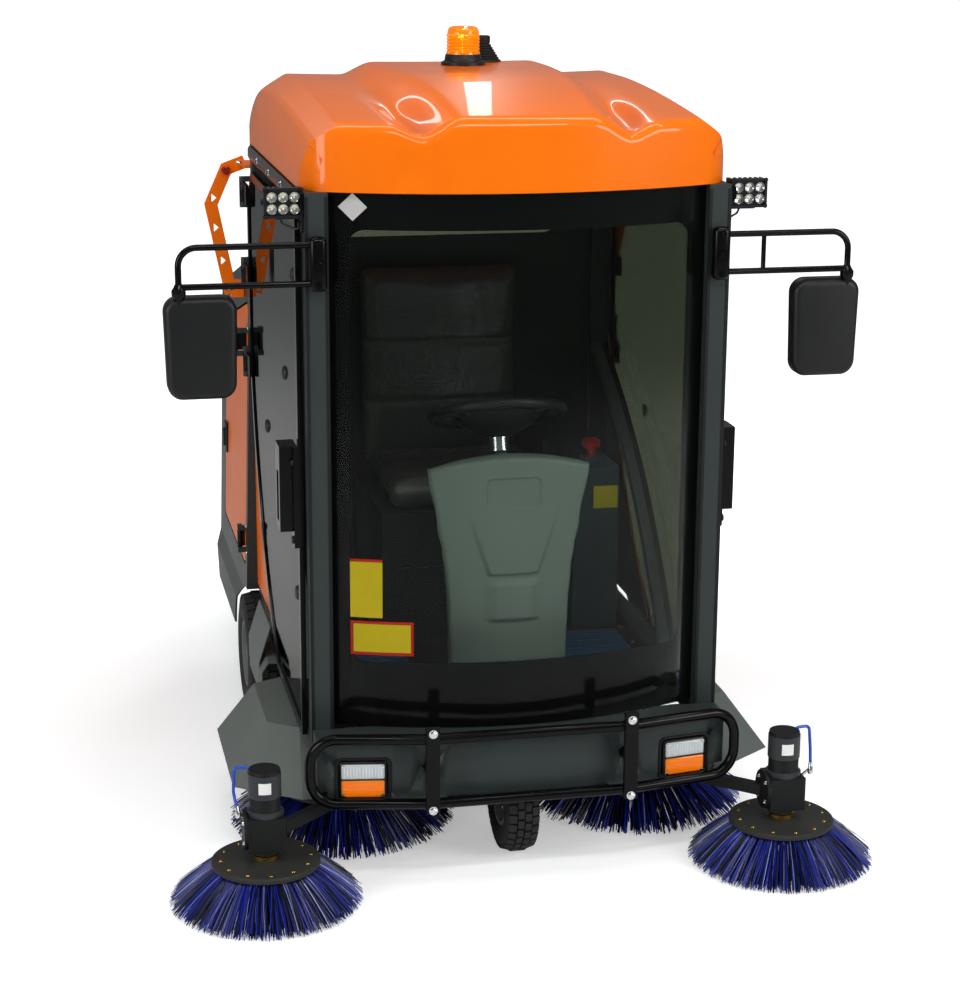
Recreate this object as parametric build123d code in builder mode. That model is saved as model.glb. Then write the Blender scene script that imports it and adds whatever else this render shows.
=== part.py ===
from build123d import *
import os
from math import atan2, cos, degrees, pi, radians, sin, sqrt

# A ride-on street sweeper with a closed cab. Millimetres, +Z up, front towards -Y,
# the machine's left side towards +X. The origin is on the ground, under the middle
# of the overall length and width.

os.makedirs("parts", exist_ok=True)

# Overall layout. Each "_AT" value is a distance behind the foremost brush tips.
OVERALL_LENGTH = 2450.0
FRONT_Y = -OVERALL_LENGTH / 2
REAR_Y = OVERALL_LENGTH / 2
WINDSCREEN_AT = 333.0        # foremost point of the curved windscreen
A_PILLAR_AT = 412.0          # front faces of the front pillars
CAB_REAR_AT = 1620.0         # outer face of the cab's rear wall
FRONT_AXLE_AT = 458.0
REAR_AXLE_AT = 1630.0
UNDER_BRUSH_AT = 755.0       # the pair of side brushes under the cab
ROLLER_AT = 1230.0           # the cross-wise roller brush
BUMPER_AT = 270.0            # foremost point of the front panel
BULL_BAR_AT = 228.0          # centre of the bull bar's tube at mid width
BODY_REAR_BEFORE = 14.0      # rear face of the rear body, before the rearmost point

windscreen_y = FRONT_Y + WINDSCREEN_AT
pillar_y = FRONT_Y + A_PILLAR_AT
cab_rear_y = FRONT_Y + CAB_REAR_AT
front_axle_y = FRONT_Y + FRONT_AXLE_AT
rear_axle_y = FRONT_Y + REAR_AXLE_AT
under_brush_y = FRONT_Y + UNDER_BRUSH_AT
roller_y = FRONT_Y + ROLLER_AT
bumper_y = FRONT_Y + BUMPER_AT
bull_bar_y = FRONT_Y + BULL_BAR_AT
body_rear_y = REAR_Y - BODY_REAR_BEFORE

# Clearances
SEAT_GAP = 0.3               # between pieces that seat on curved or bonded faces
RUN_GAP = 8.0                # between what turns and what stands beside it
BORE_GAP = 0.05              # radial, between a shaft and its bore

# Cab frame
CAB_HALF = 545.0             # outer faces of the pillars
PILLAR_W = 57.0
PILLAR_D = 60.0
FRAME_TOP = 1785.0           # the roof sits on this height
TOP_RAIL_H = 45.0
SILL_BOTTOM = 345.0
FLOOR_TOP = 412.0
FLOOR_T = 12.0
SILL_W = 57.0

floor_bottom = FLOOR_TOP - FLOOR_T
cab_inner = CAB_HALF - SILL_W

# Windscreen
WINDSCREEN_R = 1173.0
GLASS_T = 5.0
FRIT_T = 3.0
CLEAR_HALF = CAB_HALF - 109
CLEAR_BOTTOM = 572.0
CLEAR_TOP = 1692.0
CLEAR_CORNER_R = 38.0


def span_box(x, y, z, mode=Mode.ADD):
    """A box between the given pairs of x, y and z."""
    with Locations(((x[0] + x[1]) / 2, (y[0] + y[1]) / 2, (z[0] + z[1]) / 2)):
        Box(x[1] - x[0], y[1] - y[0], z[1] - z[0], mode=mode)


def arc_y(x, front, radius):
    """The y of a plan arc that bulges forward to y = front at x = 0."""
    return front + radius - sqrt(radius * radius - x * x)


def arc_band(front, radius, thickness, half):
    """A sketch of a curved wall in plan, with its outer face on the arc."""
    inner = radius - thickness
    with BuildSketch() as band:
        with BuildLine():
            outer_arc = ThreePointArc(
                (-half, arc_y(half, front, radius)), (0, front), (half, arc_y(half, front, radius))
            )
            inner_arc = ThreePointArc(
                (-half, arc_y(half, front + thickness, inner)),
                (0, front + thickness),
                (half, arc_y(half, front + thickness, inner)),
            )
            Line(outer_arc @ 0, inner_arc @ 0)
            Line(outer_arc @ 1, inner_arc @ 1)
        make_face()
    return band.sketch


def save(part, label):
    """Name a finished piece and write it."""
    part.label = label
    export_step(part, f"parts/{label}.step")


def tube_along(points, radii, diameter):
    """A round bar along straight runs joined by arcs."""
    with BuildPart() as bar:
        with BuildLine() as route:
            FilletPolyline(*points, radius=radii)
        with BuildSketch(Plane(origin=route.line @ 0, z_dir=route.line % 0)):
            Circle(diameter / 2)
        sweep()
    return bar.part


# Chassis: two channel rails, cross members, the turntable plate of the front wheel
# and the clevises that carry the front brush arms.
RAIL_X = 255.0
RAIL_W = 60.0
RAIL_H = 80.0
RAIL_T = 8.0
RAIL_FRONT_AT = 380.0
RAIL_REAR_BEFORE = 80.0      # of the overall length
CROSS_W = 40.0
CROSS_H = 50.0
FRONT_CROSS_H = 36.0
FRONT_CROSS_BELOW = 10.0     # its top, below the rails' top
FRONT_CROSS_HALF = 462.0
TURNTABLE_T = 12.0
TURNTABLE_LENGTH = 200.0
STEM_R = 25.0
ARM_PIVOT_X = 440.0
ARM_PIVOT_Z = 190.0
ARM_LUG_R = 18.0
ARM_LUG_L = 30.0
ARM_PIN_R = 8.0
EAR_T = 8.0
EAR_GAP = 0.3
TIE_BEFORE = 165.0           # tie-down lugs under the rails' rear ends
TIE_T = 12.0
TIE_R = 28.0
TIE_BORE_R = 12.5
TIE_DROP = 105.0             # from the rails' undersides to the bores
JACK_PAD_AT = 1925.0         # pads under the rails for a jack or a stand
JACK_PAD_L = 90.0
JACK_PAD_T = 8.0

rail_top = floor_bottom
rail_bottom = rail_top - RAIL_H
rail_front_y = FRONT_Y + RAIL_FRONT_AT
rail_rear_y = REAR_Y - RAIL_REAR_BEFORE
front_cross_top = rail_top - FRONT_CROSS_BELOW
arm_pivot_y = rail_front_y + CROSS_W / 2
turntable_z = rail_bottom + 30.0
ear_inner = ARM_LUG_L / 2 + EAR_GAP

with BuildPart() as chassis:
    span_box((RAIL_X - RAIL_W / 2, RAIL_X + RAIL_W / 2), (rail_front_y, rail_rear_y), (rail_bottom, rail_top))
    span_box(
        (RAIL_X - RAIL_W / 2 + RAIL_T, RAIL_X + RAIL_W / 2),
        (rail_front_y + CROSS_W, rail_rear_y - CROSS_W),
        (rail_bottom + RAIL_T, rail_top - RAIL_T),
        mode=Mode.SUBTRACT,
    )
    mirror(about=Plane.YZ)
    span_box(
        (-FRONT_CROSS_HALF, FRONT_CROSS_HALF),
        (rail_front_y, rail_front_y + CROSS_W),
        (front_cross_top - FRONT_CROSS_H, front_cross_top),
    )
    rail_inner = RAIL_X - RAIL_W / 2
    for cross_y in (under_brush_y, roller_y, rear_axle_y + 120, rail_rear_y - CROSS_W / 2):
        span_box(
            (-rail_inner, rail_inner),
            (cross_y - CROSS_W / 2, cross_y + CROSS_W / 2),
            (rail_top - CROSS_H, rail_top),
        )
    span_box(
        (-rail_inner, rail_inner),
        (front_axle_y - TURNTABLE_LENGTH / 2, front_axle_y + TURNTABLE_LENGTH / 2),
        (turntable_z, turntable_z + TURNTABLE_T),
    )
    with Locations((0, front_axle_y, turntable_z + TURNTABLE_T / 2)):
        Cylinder(STEM_R + BORE_GAP, TURNTABLE_T, mode=Mode.SUBTRACT)
    for side in (-1, 1):
        for ear_side in (-1, 1):
            ear_y = arm_pivot_y + ear_side * (ear_inner + EAR_T / 2)
            span_box(
                (side * ARM_PIVOT_X - ARM_LUG_R, side * ARM_PIVOT_X + ARM_LUG_R),
                (ear_y - EAR_T / 2, ear_y + EAR_T / 2),
                (ARM_PIVOT_Z, front_cross_top),
            )
            with Locations(Location((side * ARM_PIVOT_X, ear_y, ARM_PIVOT_Z), (90, 0, 0))):
                Cylinder(ARM_LUG_R, EAR_T)
        with Locations(Location((side * ARM_PIVOT_X, arm_pivot_y, ARM_PIVOT_Z), (90, 0, 0))):
            Cylinder(ARM_PIN_R, 2 * (ear_inner + EAR_T))
        tie_y = REAR_Y - TIE_BEFORE
        span_box(
            (side * RAIL_X - TIE_T / 2, side * RAIL_X + TIE_T / 2),
            (tie_y - TIE_R, tie_y + TIE_R),
            (rail_bottom - TIE_DROP, rail_bottom),
        )
        with Locations(Location((side * RAIL_X, tie_y, rail_bottom - TIE_DROP), (0, 90, 0))):
            Cylinder(TIE_R, TIE_T)
            Cylinder(TIE_BORE_R, 2 * TIE_T, mode=Mode.SUBTRACT)
        pad_y = FRONT_Y + JACK_PAD_AT
        span_box(
            (side * RAIL_X - RAIL_W / 2 + 4, side * RAIL_X + RAIL_W / 2 - 4),
            (pad_y - JACK_PAD_L / 2, pad_y + JACK_PAD_L / 2),
            (rail_bottom - JACK_PAD_T, rail_bottom),
        )
save(chassis.part, "chassis")

# Rear wheels and the doors' hinges, which the cab frame makes room for.
REAR_WHEEL_R = 195.0
ARCH_R = 210.0
DOOR_GAP = 3.0               # between the pillars' outer faces and the doors
DOOR_T = 14.0
DOOR_HINGE_Z = (1130.0, 1400.0, 1640.0)
DOOR_HINGE_R = 9.0
DOOR_HINGE_H = 60.0
LUG_H = 15.0
HINGE_AHEAD = 14.0           # from the cab's rear face forward to the hinge pins
DOOR_X = CAB_HALF + DOOR_GAP
hinge_y = cab_rear_y - HINGE_AHEAD
hinge_x = DOOR_X + DOOR_T + DOOR_HINGE_R

# Cab frame: pillars, sills, side rails and cross members of welded tube.
rear_pillar_y = cab_rear_y - PILLAR_D
header_y = windscreen_y + GLASS_T + FRIT_T + 2 * SEAT_GAP
header_r = WINDSCREEN_R - (header_y - windscreen_y)

with BuildPart() as cab_frame:
    for side in (-1, 1):
        outer = side * CAB_HALF
        pillar_x = sorted((outer, outer - side * PILLAR_W))
        sill_x = sorted((outer, outer - side * SILL_W))
        span_box(pillar_x, (pillar_y, pillar_y + PILLAR_D), (SILL_BOTTOM, FRAME_TOP))
        span_box(pillar_x, (rear_pillar_y, cab_rear_y), (SILL_BOTTOM, FRAME_TOP))
        span_box(pillar_x, (pillar_y, cab_rear_y), (FRAME_TOP - TOP_RAIL_H, FRAME_TOP))
        span_box(sill_x, (pillar_y, cab_rear_y), (SILL_BOTTOM, FLOOR_TOP))
    with BuildSketch(Plane.XY.offset(FRAME_TOP - TOP_RAIL_H)):
        add(arc_band(header_y, header_r, PILLAR_D, CAB_HALF - PILLAR_W))
    extrude(amount=TOP_RAIL_H)
    span_box(
        (-CAB_HALF, CAB_HALF), (rear_pillar_y, cab_rear_y), (FRAME_TOP - TOP_RAIL_H, FRAME_TOP)
    )
    span_box((-CAB_HALF, CAB_HALF), (rear_pillar_y, cab_rear_y), (floor_bottom, FLOOR_TOP))
    for side in (-1, 1):
        for hinge_z in DOOR_HINGE_Z:
            for lug_side in (-1, 1):
                lug_z = hinge_z + lug_side * (DOOR_HINGE_H + LUG_H + 2 * SEAT_GAP) / 2
                with Locations((side * hinge_x, hinge_y, lug_z)):
                    Cylinder(DOOR_HINGE_R, LUG_H)
                span_box(
                    sorted((side * CAB_HALF, side * hinge_x)),
                    (hinge_y - DOOR_HINGE_R, hinge_y + DOOR_HINGE_R),
                    (lug_z - LUG_H / 2, lug_z + LUG_H / 2),
                )
    with Locations(Location((0, rear_axle_y, REAR_WHEEL_R), (0, 90, 0))):
        Cylinder(ARCH_R, 2 * CAB_HALF + 2, mode=Mode.SUBTRACT)
save(cab_frame.part, "cab_frame")

# Cab floor: a flat plate between the sills, following the windscreen's curve in front.
FLOOR_STEM_R = 45.0

with BuildPart() as cab_floor:
    with BuildSketch(Plane.XY.offset(floor_bottom)):
        with BuildLine():
            front_arc = ThreePointArc(
                (-cab_inner, arc_y(cab_inner, header_y, header_r)),
                (0, header_y),
                (cab_inner, arc_y(cab_inner, header_y, header_r)),
            )
            Polyline(
                front_arc @ 1, (cab_inner, rear_pillar_y), (-cab_inner, rear_pillar_y), front_arc @ 0
            )
        make_face()
    extrude(amount=FLOOR_T)
    with Locations((0, front_axle_y, floor_bottom + FLOOR_T / 2)):
        Cylinder(FLOOR_STEM_R, FLOOR_T, mode=Mode.SUBTRACT)
save(cab_floor.part, "cab_floor")

# Windscreen: one curved pane from pillar to pillar, with a black band bonded behind
# its edge that leaves the clear area free.
PANEL_T = 5.0                # wall of the front panel, whose top carries the windscreen
glass_half = CAB_HALF - PILLAR_W - SEAT_GAP
panel_top = front_cross_top + PANEL_T
windscreen_bottom = panel_top + SEAT_GAP

with BuildPart() as windscreen:
    with BuildSketch(Plane.XY.offset(windscreen_bottom)):
        add(arc_band(windscreen_y, WINDSCREEN_R, GLASS_T, glass_half))
    extrude(amount=FRAME_TOP - SEAT_GAP - windscreen_bottom)
save(windscreen.part, "windscreen")

with BuildPart() as windscreen_band:
    band_front = windscreen_y + GLASS_T + SEAT_GAP
    with BuildSketch(Plane.XY.offset(windscreen_bottom)):
        add(arc_band(band_front, WINDSCREEN_R - GLASS_T - SEAT_GAP, FRIT_T, glass_half))
    extrude(amount=FRAME_TOP - SEAT_GAP - windscreen_bottom)
    with BuildSketch(Plane.XZ.offset(-windscreen_y)):
        with Locations((0, (CLEAR_BOTTOM + CLEAR_TOP) / 2)):
            RectangleRounded(2 * CLEAR_HALF, CLEAR_TOP - CLEAR_BOTTOM, CLEAR_CORNER_R)
    extrude(amount=-400, mode=Mode.SUBTRACT)
save(windscreen_band.part, "windscreen_band")

# Roof: a moulded shell with a tall curved front face. Its top is a dome between two
# hollows, which start as notches in the front edge and run out towards the rear, with a
# shoulder outside each. It is lofted straight between sections along the machine.
ROOF_HALF = CAB_HALF + 4
ROOF_FRONT_OVER = 18.0       # beyond the windscreen
ROOF_REAR_OVER = 20.0        # beyond the cab's rear wall
ROOF_T = 8.0
ROOF_CORNER_R = 60.0
DOME_TOP = 2036.0
DOME_RISE = 70.0             # from its front edge to its top
DOME_RISE_L = 620.0
SHOULDER_FRONT = 1950.0
SHOULDER_RISE = 50.0
SHOULDER_RISE_L = 760.0
ROOF_FALL_AT = 950.0         # behind the front edge, where the top starts to fall
ROOF_FALL = 110.0
HOLLOW_X = 262.0             # middle of a hollow in the front edge
HOLLOW_SPREAD = 55.0         # how far it has moved out where it ends
HOLLOW_L = 820.0
HOLLOW_DEPTH = 24.0          # below the shoulder
DISH_AT = 190.0              # an oval dish in each hollow
DISH_L = 165.0
DISH_W = 46.0
DISH_DEPTH = 14.0
FLANK_IN = 95.0
FLANK_OUT = 85.0
SIDE_DROP = (
    # distance in from the side, drop below the shoulder: a wall up to a crease, then a slope
    (0.0, 142.0), (6.0, 106.0), (14.0, 75.0), (22.0, 50.0), (34.0, 38.0), (49.0, 27.0), (89.0, 0.0),
)
ROOF_SKIRT = 28.0            # least height of the side walls
FRONT_ROUND = (30.0, 26.0)   # across, down
REAR_ROUND = (45.0, 60.0)
ROOF_STATIONS_X = (0, 0.2, 0.3, 0.36, 0.41, 0.455, 0.5, 0.545, 0.6, 0.68, 0.76)   # shares of half the width
ROOF_STATIONS_Y = (0, 0.006, 0.023, 0.07, 0.13, 0.2, 0.28, 0.37, 0.47, 0.57, 0.67, 0.77, 0.87, 0.94, 0.975, 0.993, 1)

roof_front_y = windscreen_y - ROOF_FRONT_OVER
roof_rear_y = cab_rear_y + ROOF_REAR_OVER


def ease(value):
    """Runs smoothly from 0 to 1, and stays there."""
    value = min(max(value, 0.0), 1.0)
    return value * value * (3 - 2 * value)


def round_drop(inward, across, down):
    """How far a rounded edge lies below its top, at a distance in from the outline."""
    reach = min(max(1 - inward / across, 0.0), 1.0)
    return down * (1 - sqrt(1 - reach * reach))


def side_drop(inward):
    """How far the roof's side lies below its shoulder, at a distance in from the outline."""
    for (near, near_drop), (far, far_drop) in zip(SIDE_DROP, SIDE_DROP[1:]):
        if inward < far:
            return near_drop + (far_drop - near_drop) * (inward - near) / (far - near)
    return 0.0


def roof_edges(x):
    """The y of the roof's front and rear outline, with round corners."""
    into_corner = max(abs(x) - (ROOF_HALF - ROOF_CORNER_R), 0.0)
    cut = ROOF_CORNER_R - sqrt(ROOF_CORNER_R ** 2 - into_corner ** 2)
    return arc_y(x, roof_front_y, WINDSCREEN_R) + cut, roof_rear_y - cut


def roof_z(x, y):
    """Height of the roof's top over a point of its plan."""
    x = abs(x)
    front, rear = roof_edges(x)
    back = y - arc_y(x, roof_front_y, WINDSCREEN_R)
    dome = DOME_TOP - DOME_RISE * max(1 - back / DOME_RISE_L, 0.0) ** 2
    shoulder = SHOULDER_FRONT + SHOULDER_RISE * (1 - max(1 - back / SHOULDER_RISE_L, 0.0) ** 1.6)
    floor = shoulder - HOLLOW_DEPTH * (1 - ease(back / HOLLOW_L))
    middle = HOLLOW_X + HOLLOW_SPREAD * min(back / HOLLOW_L, 1.0)
    if x < middle:
        height = floor + (dome - floor) * ease((middle - x) / FLANK_IN)
    else:
        height = floor + (shoulder - floor) * ease((x - middle) / FLANK_OUT)
    height -= DISH_DEPTH * ease(1.3 - sqrt(((x - middle) / DISH_W) ** 2 + ((back - DISH_AT) / DISH_L) ** 2))
    fall = max(back - ROOF_FALL_AT, 0.0) / (roof_rear_y - roof_front_y - ROOF_FALL_AT)
    height -= ROOF_FALL * fall ** 2
    height -= max(side_drop(ROOF_HALF - x), round_drop(y - front, *FRONT_ROUND), round_drop(rear - y, *REAR_ROUND))
    return max(height, FRAME_TOP + ROOF_SKIRT)


def roof_form(inset):
    """The roof's outer form, or the space under it, which is open below."""
    width_scale = 1 - inset / ROOF_HALF
    stations = [share * ROOF_HALF for share in ROOF_STATIONS_X] + [ROOF_HALF - inward for inward, _ in SIDE_DROP]
    sections = []
    for x in sorted({sign * station for station in stations for sign in (-1, 1)}):
        front, rear = roof_edges(x)
        squeeze = 1 - 2 * inset / (rear - front)
        centre = (front + rear) / 2
        outline = [(front, FRAME_TOP)]
        for share in ROOF_STATIONS_Y:
            y = front + share * (rear - front)
            outline.append((y, roof_z(x, y)))
        outline.append((rear, FRAME_TOP))
        sections.append(
            Wire.make_polygon([(x * width_scale, centre + (y - centre) * squeeze, z - inset) for y, z in outline])
        )
    return Solid.make_loft(sections, ruled=True)


with BuildPart() as roof:
    add(roof_form(0))
    add(roof_form(ROOF_T), mode=Mode.SUBTRACT)
save(roof.part, "roof")

# Beacon: a black foot and an amber lens on the roof's dome.
BEACON_AT = 1150.0
BEACON_BASE_R = 61.0
BEACON_BASE_H = 30.0
BEACON_LENS_R = 47.0
BEACON_LENS_H = 75.0
beacon_y = FRONT_Y + BEACON_AT
beacon_z = DOME_TOP + SEAT_GAP

with BuildPart() as beacon:
    with Locations((0, beacon_y, beacon_z)):
        Cylinder(BEACON_BASE_R, BEACON_BASE_H, align=(Align.CENTER, Align.CENTER, Align.MIN))
    with Locations((0, beacon_y, beacon_z + BEACON_BASE_H)):
        Cylinder(BEACON_LENS_R, BEACON_LENS_H, align=(Align.CENTER, Align.CENTER, Align.MIN))
    fillet(beacon.faces().sort_by(Axis.Z)[-1].edges(), 10)
save(beacon.part, "beacon")

# Cable boot: a ribbed rubber cone with a cap, behind the beacon on the dome.
BOOT_PLACE = (82.0, 1280.0)  # x, and distance behind the foremost point
BOOT_SINK = 8.0              # its foot is cut to the roof's slope
BOOT_PROFILE = ((0.0, 0.0), (54.0, 0.0), (50.0, 28.0), (38.0, 56.0), (24.0, 62.0), (22.0, 80.0), (0.0, 80.0))    # radius, height
with BuildPart() as cable_boot:
    boot_foot = (BOOT_PLACE[0], FRONT_Y + BOOT_PLACE[1], DOME_TOP - BOOT_SINK)
    with BuildSketch(Plane(origin=boot_foot, x_dir=(1, 0, 0), z_dir=(0, -1, 0))):
        with BuildLine():
            Polyline(*BOOT_PROFILE, close=True)
        make_face()
    revolve(axis=Axis(boot_foot, (0, 0, 1)))
    add(roof_form(0).moved(Location((0, 0, SEAT_GAP))), mode=Mode.SUBTRACT)
save(cable_boot.part, "cable_boot")

# Work lights: a finned box on a bracket from each front pillar.
LIGHT_W = 92.0
LIGHT_H = 70.0
LIGHT_D = 46.0
LIGHT_X = CAB_HALF + 51
LIGHT_Z = 1760.0
BRACKET_T = 6.0
light_y = pillar_y + 18.0
light_bottom = LIGHT_Z - LIGHT_H / 2

with BuildPart() as work_lights:
    span_box(
        (LIGHT_X - LIGHT_W / 2, LIGHT_X + LIGHT_W / 2),
        (light_y, light_y + LIGHT_D),
        (light_bottom, light_bottom + LIGHT_H),
    )
    for fin in range(6):
        fin_x = LIGHT_X - LIGHT_W / 2 + 10 + fin * 14
        span_box(
            (fin_x, fin_x + 8),
            (light_y + LIGHT_D / 2, light_y + LIGHT_D),
            (light_bottom, light_bottom + LIGHT_H),
            mode=Mode.SUBTRACT,
        )
    span_box(
        (CAB_HALF, LIGHT_X + 20), (light_y + 4, light_y + 40), (light_bottom - BRACKET_T, light_bottom)
    )
    span_box(
        (CAB_HALF, CAB_HALF + BRACKET_T), (light_y + 4, light_y + 40), (light_bottom - 40, light_bottom)
    )
    mirror(about=Plane.YZ)
save(work_lights.part, "work_lights")

# Mirror arms: two bars of round tube from a clamp on the pillar, joined by a strut,
# the upper one bent down into the mirror's head.
MIRROR_TUBE_D = 16.0
MIRROR_UPPER_Z = 1661.0
MIRROR_LOWER_Z = 1565.0
MIRROR_OUT_X = CAB_HALF + 313
MIRROR_STRUT_X = CAB_HALF + 85
MIRROR_Y = -18.0             # relative to the pillar's front face
CLAMP_D = 34.0
CLAMP_T = 14.0
HEAD_W = 180.0
HEAD_H = 256.0
HEAD_D = 46.0
HEAD_X = CAB_HALF + 261
HEAD_TOP = 1540.0
mirror_y = pillar_y + MIRROR_Y
clamp_x = CAB_HALF - PILLAR_W / 2

with BuildPart() as mirror_arms:
    add(
        tube_along(
            [
                (clamp_x, mirror_y, MIRROR_UPPER_Z),
                (MIRROR_OUT_X, mirror_y, MIRROR_UPPER_Z),
                (MIRROR_OUT_X, mirror_y, HEAD_TOP - 30),
            ],
            45,
            MIRROR_TUBE_D,
        )
    )
    with Locations(Location(((clamp_x + MIRROR_OUT_X) / 2, mirror_y, MIRROR_LOWER_Z), (0, 90, 0))):
        Cylinder(MIRROR_TUBE_D / 2, MIRROR_OUT_X - clamp_x)
    with Locations((MIRROR_STRUT_X, mirror_y, (MIRROR_UPPER_Z + MIRROR_LOWER_Z) / 2)):
        Cylinder(MIRROR_TUBE_D / 2 - 2, MIRROR_UPPER_Z - MIRROR_LOWER_Z)
    span_box(
        (clamp_x - CLAMP_D / 2, clamp_x + CLAMP_D / 2),
        (mirror_y - MIRROR_TUBE_D / 2, pillar_y),
        (MIRROR_LOWER_Z - CLAMP_T, MIRROR_UPPER_Z + CLAMP_T),
    )
    mirror(about=Plane.YZ)
save(mirror_arms.part, "mirror_arms")

with BuildPart() as mirror_heads:
    head_y = mirror_y - MIRROR_TUBE_D / 2
    with BuildSketch(Plane.XZ.offset(-head_y)):
        with Locations((HEAD_X, HEAD_TOP - HEAD_H / 2)):
            RectangleRounded(HEAD_W, HEAD_H, 38)
    extrude(amount=-HEAD_D, taper=6)
    with Locations((MIRROR_OUT_X, mirror_y, HEAD_TOP)):
        Cylinder(MIRROR_TUBE_D / 2 + SEAT_GAP, 70, mode=Mode.SUBTRACT)
    mirror(about=Plane.YZ)
save(mirror_heads.part, "mirror_heads")

# Front panel: a curved moulded apron with a closed top, open below for the front
# wheel, and windows for the two lamps and the bull bar's stubs.
PANEL_R = 2800.0
PANEL_BOTTOM = 212.0
PANEL_HALF = CAB_HALF
PANEL_BACK_AT = 405.0
ARM_NOTCH_HALF = CAB_HALF - 25       # the panel's lower corners are notched outside this for the arms
ARM_NOTCH_TOP = 256.0
BAR_STUB_X = 262.0
BAR_STUB_Z = 321.0
BAR_STUB_D = 30.0
LAMP_X = 430.0
LAMP_Z = 288.0
LAMP_W = 129.0
LAMP_H = 105.0
LAMP_D = 34.0
LAMP_PROUD = 8.0
LAMP_CORNER_R = 14.0
lamp_turn = degrees(atan2(LAMP_X, PANEL_R))
lamp_face_y = arc_y(LAMP_X, bumper_y, PANEL_R)


def lamp_plane(side):
    """The plane of a headlamp's face, on the panel's curve."""
    turn = radians(side * lamp_turn)
    return Plane(origin=(side * LAMP_X, lamp_face_y, LAMP_Z), x_dir=(cos(turn), sin(turn), 0), z_dir=(sin(turn), -cos(turn), 0))


with BuildPart() as front_panel:
    panel_back_y = FRONT_Y + PANEL_BACK_AT
    for inset, low, high, mode in (
        (0, PANEL_BOTTOM, panel_top, Mode.ADD),
        (PANEL_T, PANEL_BOTTOM, panel_top - PANEL_T, Mode.SUBTRACT),
    ):
        half = PANEL_HALF - inset
        edge_y = arc_y(half, bumper_y + inset, PANEL_R)
        with BuildSketch(Plane.XY.offset(low)):
            with BuildLine():
                ThreePointArc((-half, edge_y), (0, bumper_y + inset), (half, edge_y))
                Polyline((half, edge_y), (half, panel_back_y), (-half, panel_back_y), (-half, edge_y))
            make_face()
        extrude(amount=high - low, mode=mode)
    for side in (-1, 1):
        with BuildSketch(lamp_plane(side)):
            RectangleRounded(LAMP_W + 2 * SEAT_GAP, LAMP_H + 2 * SEAT_GAP, LAMP_CORNER_R + SEAT_GAP)
        extrude(amount=LAMP_D, both=True, mode=Mode.SUBTRACT)
        with Locations(Location((side * BAR_STUB_X, bumper_y, BAR_STUB_Z), (90, 0, 0))):
            Cylinder(BAR_STUB_D / 2 + SEAT_GAP, 60, mode=Mode.SUBTRACT)
        span_box(
            sorted((side * ARM_NOTCH_HALF, side * (PANEL_HALF + 1))),
            (bumper_y, panel_back_y),
            (PANEL_BOTTOM, ARM_NOTCH_TOP),
            mode=Mode.SUBTRACT,
        )
        span_box(
            (side * RAIL_X - RAIL_W / 2 - SEAT_GAP, side * RAIL_X + RAIL_W / 2 + SEAT_GAP),
            (rail_front_y - SEAT_GAP, panel_back_y),
            (panel_top - PANEL_T, panel_top),
            mode=Mode.SUBTRACT,
        )
save(front_panel.part, "front_panel")

with BuildPart() as headlamps:
    for side in (-1, 1):
        with BuildSketch(lamp_plane(side).offset(LAMP_PROUD)):
            RectangleRounded(LAMP_W, LAMP_H, LAMP_CORNER_R)
        extrude(amount=-LAMP_D)
save(headlamps.part, "headlamps")

# Bull bar: a closed loop of round tube with a flat post at each stub, on stubs that
# pass through the front panel to the chassis.
BAR_D = 28.0
BAR_TOP = 409.0
BAR_BOTTOM = 233.0
BAR_END_X = CAB_HALF + 23
BAR_END_BACK = 72.0          # how far the ends lie behind the middle
BAR_END_R = 70.0
POST_W = 35.0
POST_T = 12.0
POST_BOTTOM = 214.0
POST_TOP = 453.0
bar_post_back = BAR_END_BACK * (BAR_STUB_X / BAR_END_X) ** 2

with BuildPart() as bull_bar:
    post_y = bull_bar_y + bar_post_back
    end_y = bull_bar_y + BAR_END_BACK
    with BuildLine() as bar_route:
        FilletPolyline(
            (BAR_STUB_X, post_y, BAR_TOP),
            (BAR_END_X, end_y, BAR_TOP),
            (BAR_END_X, end_y, BAR_BOTTOM),
            (BAR_STUB_X, post_y, BAR_BOTTOM),
            radius=BAR_END_R,
        )
    with BuildSketch(Plane(origin=bar_route.line @ 0, z_dir=bar_route.line % 0)):
        Circle(BAR_D / 2)
    sweep()
    mirror(about=Plane.YZ)
    for bar_z in (BAR_TOP, BAR_BOTTOM):
        with Locations(Location((0, post_y, bar_z), (0, 90, 0))):
            Cylinder(BAR_D / 2, 2 * BAR_STUB_X)
    for side in (-1, 1):
        span_box(
            (side * BAR_STUB_X - POST_W / 2, side * BAR_STUB_X + POST_W / 2),
            (post_y - BAR_D / 2 - POST_T, post_y - BAR_D / 2 + 4),
            (POST_BOTTOM, POST_TOP),
        )
        stub_front = post_y - BAR_D / 2
        with Locations(
            Location((side * BAR_STUB_X, (stub_front + rail_front_y) / 2, BAR_STUB_Z), (90, 0, 0))
        ):
            Cylinder(BAR_STUB_D / 2, rail_front_y - stub_front)
save(bull_bar.part, "bull_bar")

# Steering cowl: a waisted moulding that covers the fork's stem and carries the column.
COWL_FRONT_AT = 520.0
COWL_TOP_Z = 1035.0
COWL_CORNER = 26.0
COWL_SECTIONS = (
    # height above the floor, width, depth
    (0.0, 320.0, 150.0),
    (360.0, 352.0, 170.0),
    (560.0, 408.0, 190.0),
    (COWL_TOP_Z - FLOOR_TOP, 440.0, 200.0),
)
COWL_V = ((-95.0, 900.0), (-34.0, 660.0), (34.0, 660.0), (95.0, 900.0))      # x, z of the relief
COWL_FRAME_HALF = 78.0
COWL_FRAME_Z = (905.0, 985.0)
COWL_RELIEF = 7.0
cowl_front_y = FRONT_Y + COWL_FRONT_AT

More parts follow.
